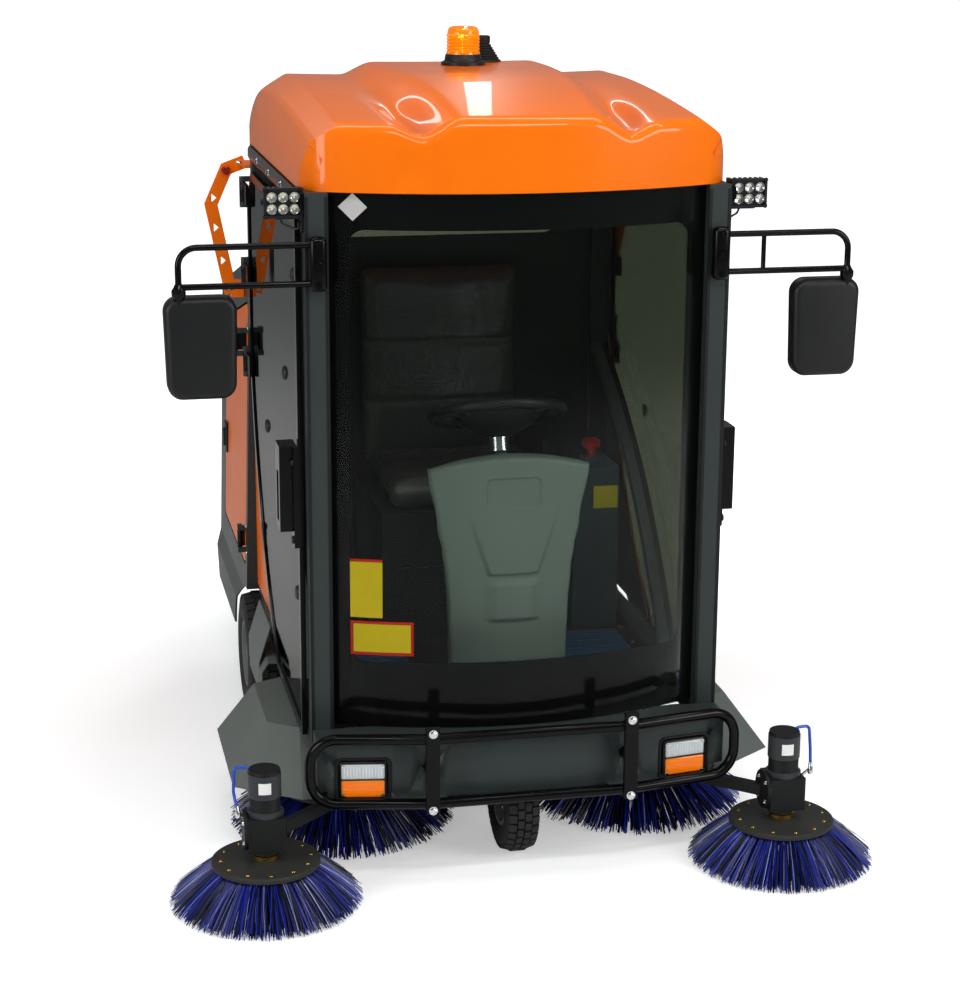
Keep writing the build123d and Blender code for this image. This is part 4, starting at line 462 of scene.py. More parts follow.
# Roof. A glass-fibre moulding with a glossy orange gel coat: a dome between two hollows
# that start as notches in the front edge, an oval dish in each, and a shoulder outside them.
def gel_coat(name, color):
    """Gel coat: a deep, wet gloss with the faint waviness of hand-laid glass fibre under it."""
    material, tree, shader = new_finish(name)
    place = object_space(tree)
    wave = add_node(tree, "TexNoise", {"Vector": place, "Scale": 7.0, "Detail": 1.0})
    peel = add_node(tree, "TexNoise", {"Vector": place, "Scale": 260.0, "Detail": 1.0})
    laid = add_node(tree, "Bump", {"Height": wave.outputs[0], "Strength": 0.12, "Distance": 0.006})
    bump = add_node(tree, "Bump", {"Height": peel.outputs[0], "Strength": 0.02, "Distance": 0.001,
                                   "Normal": laid.outputs[0]})
    tone = add_node(tree, "MapRange", {"Value": wave.outputs[0], "To Min": 0.94, "To Max": 1.05})
    tint = add_node(tree, "Mix", {0: 1.0, 6: linear(color), 7: tone.outputs[0]},
                    data_type="RGBA", blend_type="MULTIPLY")
    feed(tree, shader, {
        "Base Color": tint.outputs[2], "Normal": bump.outputs[0], "Roughness": 0.3,
        "Specular IOR Level": 0.1, "Coat Weight": 0.5, "Coat Roughness": 0.03,
    })
    return material


ROOF_HALF, ROOF_ARC, ROOF_CORNER = 0.549, 1.173, 0.060
ROOF_FRONT_Y, ROOF_REAR_Y = -0.910, 0.415
ROOF_BOTTOM, ROOF_SEAT_GAP = 1.785, 0.0003
DOME_TOP, DOME_RISE, DOME_RISE_LENGTH = 2.036, 0.070, 0.620
SHOULDER_FRONT, SHOULDER_RISE, SHOULDER_RISE_LENGTH = 1.950, 0.050, 0.760
ROOF_FALL_START, ROOF_FALL = 0.950, 0.110
HOLLOW_X, HOLLOW_SPREAD, HOLLOW_LENGTH, HOLLOW_DEPTH = 0.262, 0.055, 0.820, 0.024
DISH_BACK, DISH_LENGTH, DISH_WIDTH, DISH_DEPTH = 0.190, 0.165, 0.046, 0.014
FLANK_IN, FLANK_OUT = 0.095, 0.085
# How far the roof's side lies below its shoulder, by the distance in from its edge.
SIDE_DROP = ((0, 0.142), (0.006, 0.106), (0.014, 0.075), (0.022, 0.050), (0.034, 0.038), (0.049, 0.027),
             (0.089, 0.0))
ROOF_SKIRT, ROOF_WALL = 0.028, 0.004
FRONT_ROUND, REAR_ROUND = (0.030, 0.026), (0.045, 0.060)
ROOF_STEPS = 190


def ease(value):
    """Runs smoothly from 0 to 1, and stays there."""
    value = min(max(value, 0.0), 1.0)
    return value * value * (3 - 2 * value)


def round_drop(inward, across, down):
    """How far a rounded edge lies below its top, at a distance in from the outline."""
    reach = min(max(1 - inward / across, 0.0), 1.0)
    return down * (1 - math.sqrt(1 - reach * reach))


def side_drop(inward):
    """How far the roof's side lies below its shoulder, at a distance in from the outline."""
    for (near, near_drop), (far, far_drop) in zip(SIDE_DROP, SIDE_DROP[1:]):
        if inward < far:
            return near_drop + (far_drop - near_drop) * (inward - near) / (far - near)
    return 0.0


def roof_edges(x):
    """Where the roof's front arc, front edge and rear edge lie at a distance from the middle."""
    into_corner = max(abs(x) - (ROOF_HALF - ROOF_CORNER), 0.0)
    cut = ROOF_CORNER - math.sqrt(max(ROOF_CORNER ** 2 - into_corner ** 2, 0.0))
    front = ROOF_FRONT_Y + ROOF_ARC - math.sqrt(ROOF_ARC ** 2 - x * x)
    return front, front + cut, ROOF_REAR_Y - cut


def roof_height(x, y):
    """Height of the roof's skin over a point of its plan."""
    x = abs(x)
    arc, front, rear = roof_edges(x)
    back = y - arc
    dome = DOME_TOP - DOME_RISE * max(1 - back / DOME_RISE_LENGTH, 0.0) ** 2
    shoulder = SHOULDER_FRONT + SHOULDER_RISE * (1 - max(1 - back / SHOULDER_RISE_LENGTH, 0.0) ** 1.6)
    floor = shoulder - HOLLOW_DEPTH * (1 - ease(back / HOLLOW_LENGTH))
    middle = HOLLOW_X + HOLLOW_SPREAD * min(back / HOLLOW_LENGTH, 1.0)
    if x < middle:
        height = floor + (dome - floor) * ease((middle - x) / FLANK_IN)
    else:
        height = floor + (shoulder - floor) * ease((x - middle) / FLANK_OUT)
    dish = math.sqrt(((x - middle) / DISH_WIDTH) ** 2 + ((back - DISH_BACK) / DISH_LENGTH) ** 2)
    height -= DISH_DEPTH * ease(1.3 - dish)
    fall = max(back - ROOF_FALL_START, 0.0) / (ROOF_REAR_Y - ROOF_FRONT_Y - ROOF_FALL_START)
    height -= ROOF_FALL * fall ** 2
    height -= max(side_drop(ROOF_HALF - x), round_drop(y - front, *FRONT_ROUND),
                  round_drop(rear - y, *REAR_ROUND))
    return max(height, ROOF_BOTTOM + ROOF_SKIRT)


bm = bmesh.new()
bmesh.ops.create_grid(bm, x_segments=ROOF_STEPS, y_segments=ROOF_STEPS, size=1.0)
for vertex in bm.verts:
    x = ROOF_HALF * math.sin(vertex.co.x * math.pi / 2)
    arc, front, rear = roof_edges(x)
    y = front + (0.5 - 0.5 * math.cos((vertex.co.y + 1) / 2 * math.pi)) * (rear - front)
    vertex.co = (x, y, roof_height(x, y))
for _ in range(2):
    bmesh.ops.smooth_vert(bm, verts=[vertex for vertex in bm.verts if not vertex.is_boundary], factor=0.5,
                          use_axis_x=False, use_axis_y=False, use_axis_z=True)
lip, lip_points = pushed(bm, [edge for edge in bm.edges if edge.is_boundary])
for vertex in lip_points:
    vertex.co.z = ROOF_BOTTOM + ROOF_SEAT_GAP
bmesh.ops.recalc_face_normals(bm, faces=bm.faces)
bmesh.ops.solidify(bm, geom=list(bm.faces), thickness=ROOF_WALL)
finished(bm, "roof_moulding", gel_coat("orange gel coat", "#EE6E00"), "machine", "roof", slot="orange_moulding")


# Beacon and cable boot. A black moulded foot under a ribbed amber polycarbonate dome, and
# behind it a ribbed rubber cone that lets the cables through the roof.
def tinted_clear(name, color, through, glow):
    """Clear or tinted plastic or glass: light passes through the colour, and glow adds a painted glow in it."""
    material, tree, shader = new_finish(name)
    ripple = add_node(tree, "TexNoise", {"Vector": object_space(tree), "Scale": 30.0, "Detail": 1.0})
    bump = add_node(tree, "Bump", {"Height": ripple.outputs[0], "Strength": 0.02, "Distance": 0.002})
    # The emission is a painted glow in the lens's own colour. No lamp inside gives it.
    feed(tree, shader, {
        "Base Color": linear(color), "Normal": bump.outputs[0], "Roughness": 0.06, "IOR": 1.49,
        "Transmission Weight": through, "Emission Color": linear(color), "Emission Strength": glow,
    })
    return material


def spun(name, material, outline, axis_point, slot, *nodes, axis=(0, 0, 1), segments=48, body="machine"):
    """A piece that is one outline spun about an axis."""
    bm = bmesh.new()
    turned(bm, outline, axis_point, axis=axis, segments=segments)
    finished(bm, name, material, body, *nodes, slot=slot)


beacon_low, beacon_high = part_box("beacon")
beacon_middle = (beacon_low + beacon_high) / 2
beacon_foot = Vector((beacon_middle.x, beacon_middle.y, beacon_low.z))
BEACON_FOOT, DOME_R, DOME_RIB_R, DOME_RIB_STEP = 0.030, 0.0435, 0.0465, 0.009
spun("beacon_foot", black_moulding, [(0.0, 0.0), (0.061, 0.0), (0.061, 0.008), (0.052, 0.012), (0.050, 0.026),
                                     (0.047, BEACON_FOOT), (0.0, BEACON_FOOT)], beacon_foot, "black_plastic")
dome_outline = [(0.0, 0.0745), (0.030, 0.0745), (0.040, 0.070), (DOME_R, 0.060)]
for ring in range(6):
    dome_outline += [(DOME_R, 0.0535 - ring * DOME_RIB_STEP), (DOME_RIB_R, 0.0505 - ring * DOME_RIB_STEP)]
dome_outline += [(0.047, 0.0), (0.0, 0.0)]
spun("beacon_dome", tinted_clear("amber polycarbonate", "#FF9208", 0.6, 0.25), dome_outline,
     beacon_foot + Vector((0, 0, BEACON_FOOT)), "amber_lens", "beacon", segments=64)

BOOT_PLACE = Vector((0.082, 0.055, 2.0285))
BOOT_R, BOOT_TAPER, BOOT_RIB_STEP = 0.051, 0.0042, 0.0068
boot_outline = [(0.0, 0.006), (0.0535, 0.009)]
for ring in range(7):
    out, up = BOOT_R - BOOT_TAPER * ring, 0.012 + ring * BOOT_RIB_STEP
    boot_outline += [(out, up), (out - 0.0055, up + 0.0030)]
boot_outline += [(0.022, 0.062), (0.022, 0.076), (0.018, 0.0795), (0.0, 0.0795)]
boot_rubber = moulded_plastic("black boot rubber", "#121213", roughness=0.6)
spun("cable_boot_cone", boot_rubber, boot_outline, BOOT_PLACE, "black_plastic", "cable_boot", segments=40)


# Work lights. Two cast aluminium boxes with fins behind, each with six bright reflectors
# in two rows behind clear plastic, clamped to a bracket on the pillar.
light_black = powder_coat("black cast aluminium", "#17181A", roughness=0.4, coat=0.2)
dress(light_black, "work_lights", edge=0.0012)
LIGHT_X, LIGHT_Z, LIGHT_FACE_Y = 0.596, 1.760, -0.795
LIGHT_HALF_W, LIGHT_HALF_H, LIGHT_EDGE = 0.046, 0.035, 0.002
CUP_STEP_X, CUP_STEP_Z, CUP_R, CUP_DEPTH = 0.028, 0.029, 0.0128, 0.0072
CUP = [(CUP_R, 0.0), (CUP_R, CUP_DEPTH), (0.0, CUP_DEPTH), (0.0, 0.0055), (0.004, 0.0055), (0.0085, 0.004),
       (0.0118, 0.0), (CUP_R, 0.0)]
CHIP = [(0.0, 0.0035), (0.0025, 0.0038), (0.0035, 0.0053), (0.0, 0.0053)]
bm, chip_bm, frame_bm, lead_bm = bmesh.new(), bmesh.new(), bmesh.new(), bmesh.new()
for side in (-1, 1):
    for column in (-1, 0, 1):
        for row in (-0.5, 0.5):
            cup = (side * LIGHT_X + column * CUP_STEP_X, LIGHT_FACE_Y - CUP_DEPTH, LIGHT_Z + row * CUP_STEP_Z)
            turned(bm, CUP, cup, axis=(0, 1, 0), segments=24)
            turned(chip_bm, CHIP, cup, axis=(0, 1, 0), segments=12)
    corners = [(side * LIGHT_X + a * (LIGHT_HALF_W - LIGHT_EDGE), LIGHT_Z + b * (LIGHT_HALF_H - LIGHT_EDGE))
               for a, b in ((-1, -1), (1, -1), (1, 1), (-1, 1))]
    for (x0, z0), (x1, z1) in zip(corners, corners[1:] + corners[:1]):
        drawn(frame_bm, [(-0.003, -0.004), (0.003, -0.004), (0.003, 0.002), (-0.003, 0.002)],
              [(x0, LIGHT_FACE_Y - 0.004, z0), (x1, LIGHT_FACE_Y - 0.004, z1)], side=(0, 1, 0))
    for x, z in corners:
        hex_bolt(frame_bm, (x, LIGHT_FACE_Y - 0.006, z), (0, -1, 0), across=0.007, height=0.004)
    for end in (-1, 1):
        hex_bolt(frame_bm, (side * LIGHT_X + end * LIGHT_HALF_W, LIGHT_FACE_Y + 0.02, LIGHT_Z), (end, 0, 0))
    hex_bolt(frame_bm, (side * (CAB_HALF + 0.006), LIGHT_FACE_Y + 0.022, LIGHT_Z - 0.055), (side, 0, 0))
    # How far the lead lies out, back and down from the light's face.
    lead = [(side * out, LIGHT_FACE_Y + back, LIGHT_Z - down) for out, back, down in (
        (LIGHT_X + 0.012, 0.044, 0.0), (LIGHT_X + 0.012, 0.066, 0.005), (LIGHT_X - 0.005, 0.068, 0.06),
        (CAB_HALF + 0.008, 0.05, 0.075), (CAB_HALF + 0.004, 0.03, 0.04))]
    drawn(lead_bm, circle_section(0.0028, 10), round_path(lead, 0.012))
bmesh.ops.remove_doubles(bm, verts=bm.verts, dist=SEAM)
finished(bm, "work_light_reflectors", chrome, "machine", slot="light_housing")
chip_yellow = tinted_clear("yellow light chip", "#D8CC98", through=0.1, glow=0.1)
finished(chip_bm, "work_light_chips", chip_yellow, "machine", slot="lamp_lens")
finished(frame_bm, "work_light_frames", light_black, "machine", slot="light_housing")
cable_grey = moulded_plastic("grey cable sheath", "#2C2E30")
finished(lead_bm, "work_light_leads", cable_grey, "machine", slot="black_plastic")


# Mirrors. Two bars of round steel tube on a tall clamp round the front pillar, coated
# gloss black, with the head's black moulded shell on the end of the upper bar.
dress(black_coat, "mirror_arms", edge=0.0015)
MIRROR_Y, CLAMP_X, CLAMP_LOW, CLAMP_HIGH, CLAMP_HALF = -0.831, 0.5165, 1.545, 1.681, 0.022
HEAD_X, HEAD_TOP, HEAD_STEM_X = 0.806, 1.540, 0.858
HEAD_HALF_W, HEAD_HEIGHT, HEAD_FRONT_Y, HEAD_DEPTH, HEAD_TAPER = 0.090, 0.256, -0.839, 0.046, 0.07
GLASS_HALF_W = 0.078
head_back_y, clamp_front_y = HEAD_FRONT_Y + HEAD_DEPTH, MIRROR_Y - 0.016
shell_plastic = moulded_plastic("pebbled mirror shell", "#101112", roughness=0.42, grain_mm=1.6, grain=0.5)
clamp_bm, glass_bm, bolt_bm = bmesh.new(), bmesh.new(), bmesh.new()
for side, name_side in ((-1, "right"), (1, "left")):
    bm = bmesh.new()
    bmesh.ops.create_cube(bm, size=1.0)
    bmesh.ops.scale(bm, vec=(2 * HEAD_HALF_W, HEAD_DEPTH, HEAD_HEIGHT), verts=bm.verts)
    uprights = [edge for edge in bm.edges if abs(edge.verts[0].co.y - edge.verts[1].co.y) > 0.01]
    bmesh.ops.bevel(bm, geom=uprights, offset=0.038, segments=8, profile=0.5, affect="EDGES", material=-1)
    fronts = [edge for edge in bm.edges if all(vertex.co.y < 0 for vertex in edge.verts)]
    bmesh.ops.bevel(bm, geom=fronts, offset=0.018, segments=6, profile=0.5, affect="EDGES", clamp_overlap=True,
                    material=-1)
    for vertex in bm.verts:
        vertex.co.x *= 1 - HEAD_TAPER * max(-vertex.co.z, 0.0) / (HEAD_HEIGHT / 2)
        vertex.co.z *= 0.999
    head_middle = (side * HEAD_X, HEAD_FRONT_Y + HEAD_DEPTH / 2, HEAD_TOP - HEAD_HEIGHT / 2)
    bmesh.ops.translate(bm, vec=head_middle, verts=bm.verts)
    finished(bm, f"mirror_shell_{name_side}", shell_plastic, "machine", "mirror_heads", slot="black_plastic")
    rounded_block(glass_bm, (side * HEAD_X - GLASS_HALF_W, head_back_y - 0.002, HEAD_TOP - HEAD_HEIGHT + 0.016),
                  (side * HEAD_X + GLASS_HALF_W, head_back_y + 0.0018, HEAD_TOP - 0.014), 0.0015, segments=2)
    rounded_block(clamp_bm, (side * CLAMP_X - CLAMP_HALF, clamp_front_y, CLAMP_LOW),
                  (side * CLAMP_X + CLAMP_HALF, PILLAR_FACE_Y + 0.0002, CLAMP_HIGH), 0.014, segments=5)
    for bolt_z, across, height in ((1.613, 0.016, 0.008), (1.562, 0.011, 0.005), (1.664, 0.011, 0.005)):
        hex_bolt(bolt_bm, (side * CLAMP_X, clamp_front_y, bolt_z), (0, -1, 0), across, height)
    turned(clamp_bm, [(0.0, -0.002), (0.014, -0.002), (0.0175, 0.006), (0.0175, 0.018), (0.012, 0.026),
                      (0.0085, 0.034), (0.0, 0.034)], (side * HEAD_STEM_X, MIRROR_Y, HEAD_TOP), segments=24)
finished(clamp_bm, "mirror_clamps", black_coat, "machine", slot="black_steel")
silvered = plated_metal("silvered mirror glass", "#E4E7E8", roughness=0.03)
finished(glass_bm, "mirror_glasses", silvered, "machine", slot="clear_glass")
finished(bolt_bm, "mirror_bolts", black_coat, "machine", slot="black_steel")


# Front panel, lamps and bull bar. A slate moulded apron with a black lip below, two lamps
# with a clear indicator above an amber one, and a gloss black bar of bent tube on two posts.
fender_coat = powder_coat("dusty slate powder coat", "#5E6460", roughness=0.5, dust=0.2)
dress(slate_coat, "front_panel", edge=0.002)
dress(fender_coat, "brush_fenders", edge=0.0008)
dress(fender_coat, "side_skirts", edge=0.002)
dress(black_coat, "bull_bar", edge=0.002)
PANEL_FRONT_Y, PANEL_ARC, LIP_Z = -0.955, 2.8, 0.224
POST_X, POST_FACE_Y, POST_BOLT_ZS = 0.262, -1.0085, (0.433, 0.2245)


def panel_face(x, z, off=0.0):
    """A point a little in front of the apron's curved face."""
    return Vector((x, PANEL_FRONT_Y - off + PANEL_ARC - math.sqrt(PANEL_ARC ** 2 - x * x), z))


bm = bmesh.new()
drawn(bm, [(-0.012, -0.001), (0.012, -0.001), (0.012, 0.0025), (-0.012, 0.0035)],
      [panel_face(-0.215 + 0.043 * step, LIP_Z, 0.0015) for step in range(11)])
finished(bm, "panel_lip", black_coat, "machine", slot="black_steel")
bolted("panel_bolts",
       [(panel_face(x, LIP_Z + 0.002, 0.005), (0, -1, 0)) for x in (-0.193, 0.058, 0.200)]
       + [((side * POST_X, POST_FACE_Y, z), (0, -1, 0), 0.014) for side in (-1, 1) for z in POST_BOLT_ZS])

LAMP_X, LAMP_Z, LAMP_W, LAMP_H, LAMP_PROUD = 0.430, 0.288, 0.129, 0.105, 0.008
LENS_HALF_W, CLEAR_LENS, AMBER_LENS = 0.056, (0.0035, 0.0445), (-0.0455, 0.0005)
lamp_black = moulded_plastic("black lamp body", "#0C0C0D", roughness=0.35)
lamp_amber = tinted_clear("amber indicator lens", "#F08205", 0.35, 0.22)
lamp_clear = tinted_clear("clear ribbed lens", "#DCE2E4", 0.45, 0.12)
body_bm, clear_bm, amber_bm, screw_bm, gasket_bm = [bmesh.new() for _ in range(5)]
for side in (-1, 1):
    started = [(bm, len(bm.verts)) for bm in (body_bm, clear_bm, amber_bm, screw_bm)]
    rounded_block(body_bm, (-LAMP_W / 2, -0.0055, -LAMP_H / 2), (LAMP_W / 2, 0.026, LAMP_H / 2), 0.012,
                  segments=4)
    for lens_bm, (low, high) in ((clear_bm, CLEAR_LENS), (amber_bm, AMBER_LENS)):
        rounded_block(lens_bm, (-LENS_HALF_W, -LAMP_PROUD, low), (LENS_HALF_W, 0.004, high), 0.005)
    for rib in range(13):
        x = -0.048 + rib * 0.008
        drawn(clear_bm, circle_section(0.0018, 6), [(x, -LAMP_PROUD, CLEAR_LENS[0] + 0.005),
                                                    (x, -LAMP_PROUD, CLEAR_LENS[1] - 0.005)], side=(1, 0, 0))
    for rib in range(9):
        z = AMBER_LENS[0] + 0.0065 + rib * 0.0042
        drawn(amber_bm, circle_section(0.0012, 6), [(-0.050, -LAMP_PROUD, z), (0.050, -LAMP_PROUD, z)])
    for x in (-0.050, 0.050):
        for z in (-0.040, 0.039):
            hex_bolt(screw_bm, (x, -LAMP_PROUD - 0.0002, z), (0, -1, 0), across=0.006, height=0.002)
    seat = (Matrix.Translation(panel_face(side * LAMP_X, LAMP_Z))
            @ Matrix.Rotation(math.asin(LAMP_X / PANEL_ARC) * side, 4, "Z"))
    for bm, start in started:
        bm.verts.ensure_lookup_table()
        bmesh.ops.transform(bm, matrix=seat, verts=bm.verts[start:])
    gasket = [panel_face(side * LAMP_X + x, LAMP_Z + z, 0.001) for x, z in (
        (-0.069, -0.057), (0.069, -0.057), (0.069, 0.057), (-0.069, 0.057), (-0.069, -0.057), (0.0, -0.057))]
    drawn(gasket_bm, circle_section(0.0035, 8), round_path(gasket, 0.014)[:-1], side=(0, 1, 0))
finished(body_bm, "headlamp_bodies", lamp_black, "machine", "headlamps", slot="black_plastic")
finished(clear_bm, "headlamp_clear_lenses", lamp_clear, "machine", slot="lamp_lens")
finished(amber_bm, "headlamp_amber_lenses", lamp_amber, "machine", slot="amber_lens")
finished(screw_bm, "headlamp_screws", chrome, "machine", slot="rim_steel")
finished(gasket_bm, "headlamp_gaskets", seal_rubber, "machine", slot="black_plastic")


# Steering cowl, column and wheel. The cowl is a grey moulded cover round the fork's stem.
# The wheel is black grained foam over steel, with a deep dish and three spokes.
COWL_FACE_Y, COWL_FLOOR, COWL_LIP, COWL_CROWN = -0.706, 0.4125, 1.044, 0.033
COWL_HALF = ((0.412, 0.157), (0.545, 0.160), (0.652, 0.164), (0.760, 0.171), (0.820, 0.179), (0.886, 0.192),
             (1.044, 0.217))
COWL_BULGE, COWL_PAD, COWL_SHIFT, UPPER_PAD_TOP = 0.030, 0.012, 0.006, 0.945
PLATE_Z, PLATE_HALF_W, PLATE_HALF_H, PLATE_CORNER, PLATE_DEPTH = 0.980, 0.075, 0.042, 0.018, 0.005
# The cowl's sides in steps: how far behind the face, and how much narrower and lower than the step before.
COWL_BACK = ((0.020, 0.985, 0.0), (0.110, 0.914, 0.040), (0.185, 0.867, 0.030))


def cowl_half(z):
    """Half the cowl's width at a height."""
    for (low, low_half), (high, high_half) in zip(COWL_HALF, COWL_HALF[1:]):
        if z <= high:
            return low_half + (high_half - low_half) * ease((z - low) / (high - low))
    return COWL_HALF[-1][1]


def cowl_relief(x, z):
    """How far the cowl's face stands proud: two pads that grow out of it, and a sunk plate above."""
    out = abs(x - COWL_SHIFT)
    flank = 0.074 + (z - 0.765) * 0.33
    upper = 0.0
    if z < UPPER_PAD_TOP:
        upper = min((UPPER_PAD_TOP - z) / 0.145, 1.0) * ease((flank - out) / 0.014) * ease((z - 0.757) / 0.010)
    lower = ease((0.082 - out) / 0.040) * ease((0.752 - z) / 0.026) * ease((z - 0.627) / 0.016)
    out_x, out_z = out - PLATE_HALF_W + PLATE_CORNER, abs(z - PLATE_Z) - PLATE_HALF_H + PLATE_CORNER
    edge = math.hypot(max(out_x, 0.0), max(out_z, 0.0)) + min(max(out_x, out_z), 0.0) - PLATE_CORNER
    return COWL_PAD * (upper + lower) - PLATE_DEPTH * ease(-edge / PLATE_DEPTH)


bm = bmesh.new()
bmesh.ops.create_grid(bm, x_segments=150, y_segments=210, size=0.5)
for vertex in bm.verts:
    across, up = vertex.co.x * 2, vertex.co.y + 0.5
    lip = COWL_LIP + COWL_CROWN * (1 - across * across)
    z = COWL_FLOOR + up * (lip - COWL_FLOOR)
    x = across * cowl_half(z)
    bulge = COWL_BULGE * (1 - across * across)
    back = round_drop(cowl_half(z) - abs(x), 0.010, 0.012) + round_drop(lip - z, 0.012, 0.014)
    vertex.co = (x, COWL_FACE_Y - bulge - cowl_relief(x, z) + back, z)
edges = [edge for edge in bm.edges if edge.is_boundary]
for back, share, fall in COWL_BACK:
    edges, ring = pushed(bm, edges)
    for vertex in ring:
        down = fall * ease((vertex.co.z - 0.90) / 0.13)
        vertex.co = (vertex.co.x * share, COWL_FACE_Y + back, vertex.co.z - down)
bmesh.ops.contextual_create(bm, geom=edges)
cowl_grey = moulded_plastic("grey cowl moulding", "#656F69", roughness=0.42, grain=0.03)
finished(bm, "cowl_moulding", cowl_grey, "machine", "steering_cowl", slot="slate_moulding")

dress(black_moulding, "steering_column", edge=0.002)
COLUMN_FOOT, COLUMN_TILT, COLUMN_LENGTH = Vector((0, -0.585, 1.035)), math.radians(22), 0.0623
WHEEL_DISH, WHEEL_R, RIM_R = 0.062, 0.190, 0.0135
SPOKE = [(-0.019, -0.0035), (-0.015, -0.0055), (0.015, -0.0055), (0.019, -0.0035),
         (0.019, 0.0035), (0.015, 0.0055), (-0.015, 0.0055), (-0.019, 0.0035)]
column_axis = Vector((0, math.sin(COLUMN_TILT), math.cos(COLUMN_TILT)))
hub_place = COLUMN_FOOT + column_axis * COLUMN_LENGTH
bm = bmesh.new()
rim_outline = [(WHEEL_R - RIM_R + a, b) for a, b in circle_section(RIM_R, 16)]
turned(bm, rim_outline + rim_outline[:1], hub_place + column_axis * WHEEL_DISH, axis=column_axis, segments=72)
bmesh.ops.remove_doubles(bm, verts=bm.verts, dist=SEAM)
turned(bm, [(0.0, 0.0), (0.038, 0.0), (0.062, 0.012), (0.092, 0.030), (0.116, 0.050), (0.119, 0.054),
            (0.114, 0.056), (0.090, 0.040), (0.060, 0.024), (0.040, 0.030), (0.036, 0.034), (0.0, 0.034)],
       hub_place, axis=column_axis, segments=56)
first_way = Vector((1, 0, 0))
for turn in (90, 210, 330):
    way = first_way * math.cos(math.radians(turn)) + column_axis.cross(first_way) * math.sin(math.radians(turn))
    spoke = [hub_place + column_axis * up + way * out
             for out, up in ((0.085, 0.038), (0.115, 0.053), (0.145, 0.060), (WHEEL_R - RIM_R, WHEEL_DISH))]
    drawn(bm, SPOKE, spoke, side=column_axis.cross(way))
wheel_foam = moulded_plastic("black wheel grip", "#151516", roughness=0.4, grain_mm=0.9, grain=0.3)
finished(bm, "steering_wheel_grip", wheel_foam, "steering_wheel", "steering_wheel", slot="black_plastic")
coupling = [(0.0, 0.0215), (0.030, 0.0215)]
for ring in range(4):
    up = 0.024 + ring * 0.008
    coupling += [(0.030, up), (0.0265, up + 0.0025), (0.0265, up + 0.0045), (0.030, up + 0.0065)]
coupling += [(0.030, 0.057), (0.0, 0.057)]
spun("column_coupling", chrome, coupling, COLUMN_FOOT, "rim_steel", axis=column_axis, segments=32)


# Seat. Two foam pads under black vinyl, still in the clear film they are delivered in, on
# a steel box with vents.
def wrapped_vinyl(name, color):
    """Grained vinyl under loose clear film: the film's creases show only in its own gloss."""
    material, tree, shader = new_finish(name)
    place = object_space(tree)
    grain = add_node(tree, "TexVoronoi", {"Vector": place, "Scale": 620.0})
    leather = add_node(tree, "Bump", {"Height": grain.outputs["Distance"], "Strength": 0.12, "Distance": 0.0005})
    swirl = add_node(tree, "TexNoise", {"Vector": place, "Scale": 5.0, "Detail": 4.0, "Distortion": 2.2})
    creases = add_node(tree, "TexVoronoi", {"Vector": swirl.outputs["Color"], "Scale": 7.0},
                       feature="DISTANCE_TO_EDGE")
    film = add_node(tree, "Bump", {"Height": creases.outputs["Distance"], "Strength": 0.6, "Distance": 0.006})
    tone = add_node(tree, "MapRange", {"Value": swirl.outputs["Fac"], "To Min": 0.8, "To Max": 1.25})
    tint = add_node(tree, "Mix", {0: 1.0, 6: linear(color), 7: tone.outputs[0]},
                    data_type="RGBA", blend_type="MULTIPLY")
    feed(tree, shader, {
        "Base Color": tint.outputs[2], "Normal": leather.outputs[0], "Coat Normal": film.outputs[0],
        "Roughness": 0.45, "Coat Weight": 1.0, "Coat Roughness": 0.06,
    })
    return material


seat_vinyl = wrapped_vinyl("film-wrapped seat vinyl", "#3C4042")
SEAT_HALF, PAD_RADIUS, PAD_CELL = 0.262, 0.040, 0.011
PAD_CREEP, PAD_FRAMES = 0.014, 16          # how far the cover may swell, and in how many frames
GROOVE_DEPTH, GROOVE_REACH = 0.010, 0.012


def applied(pad):
    """Makes what the modifiers do part of the pad's own mesh."""
    mesh = bpy.data.meshes.new_from_object(pad.evaluated_get(bpy.context.evaluated_depsgraph_get()))
    pad.modifiers.clear()
    pad.data = mesh


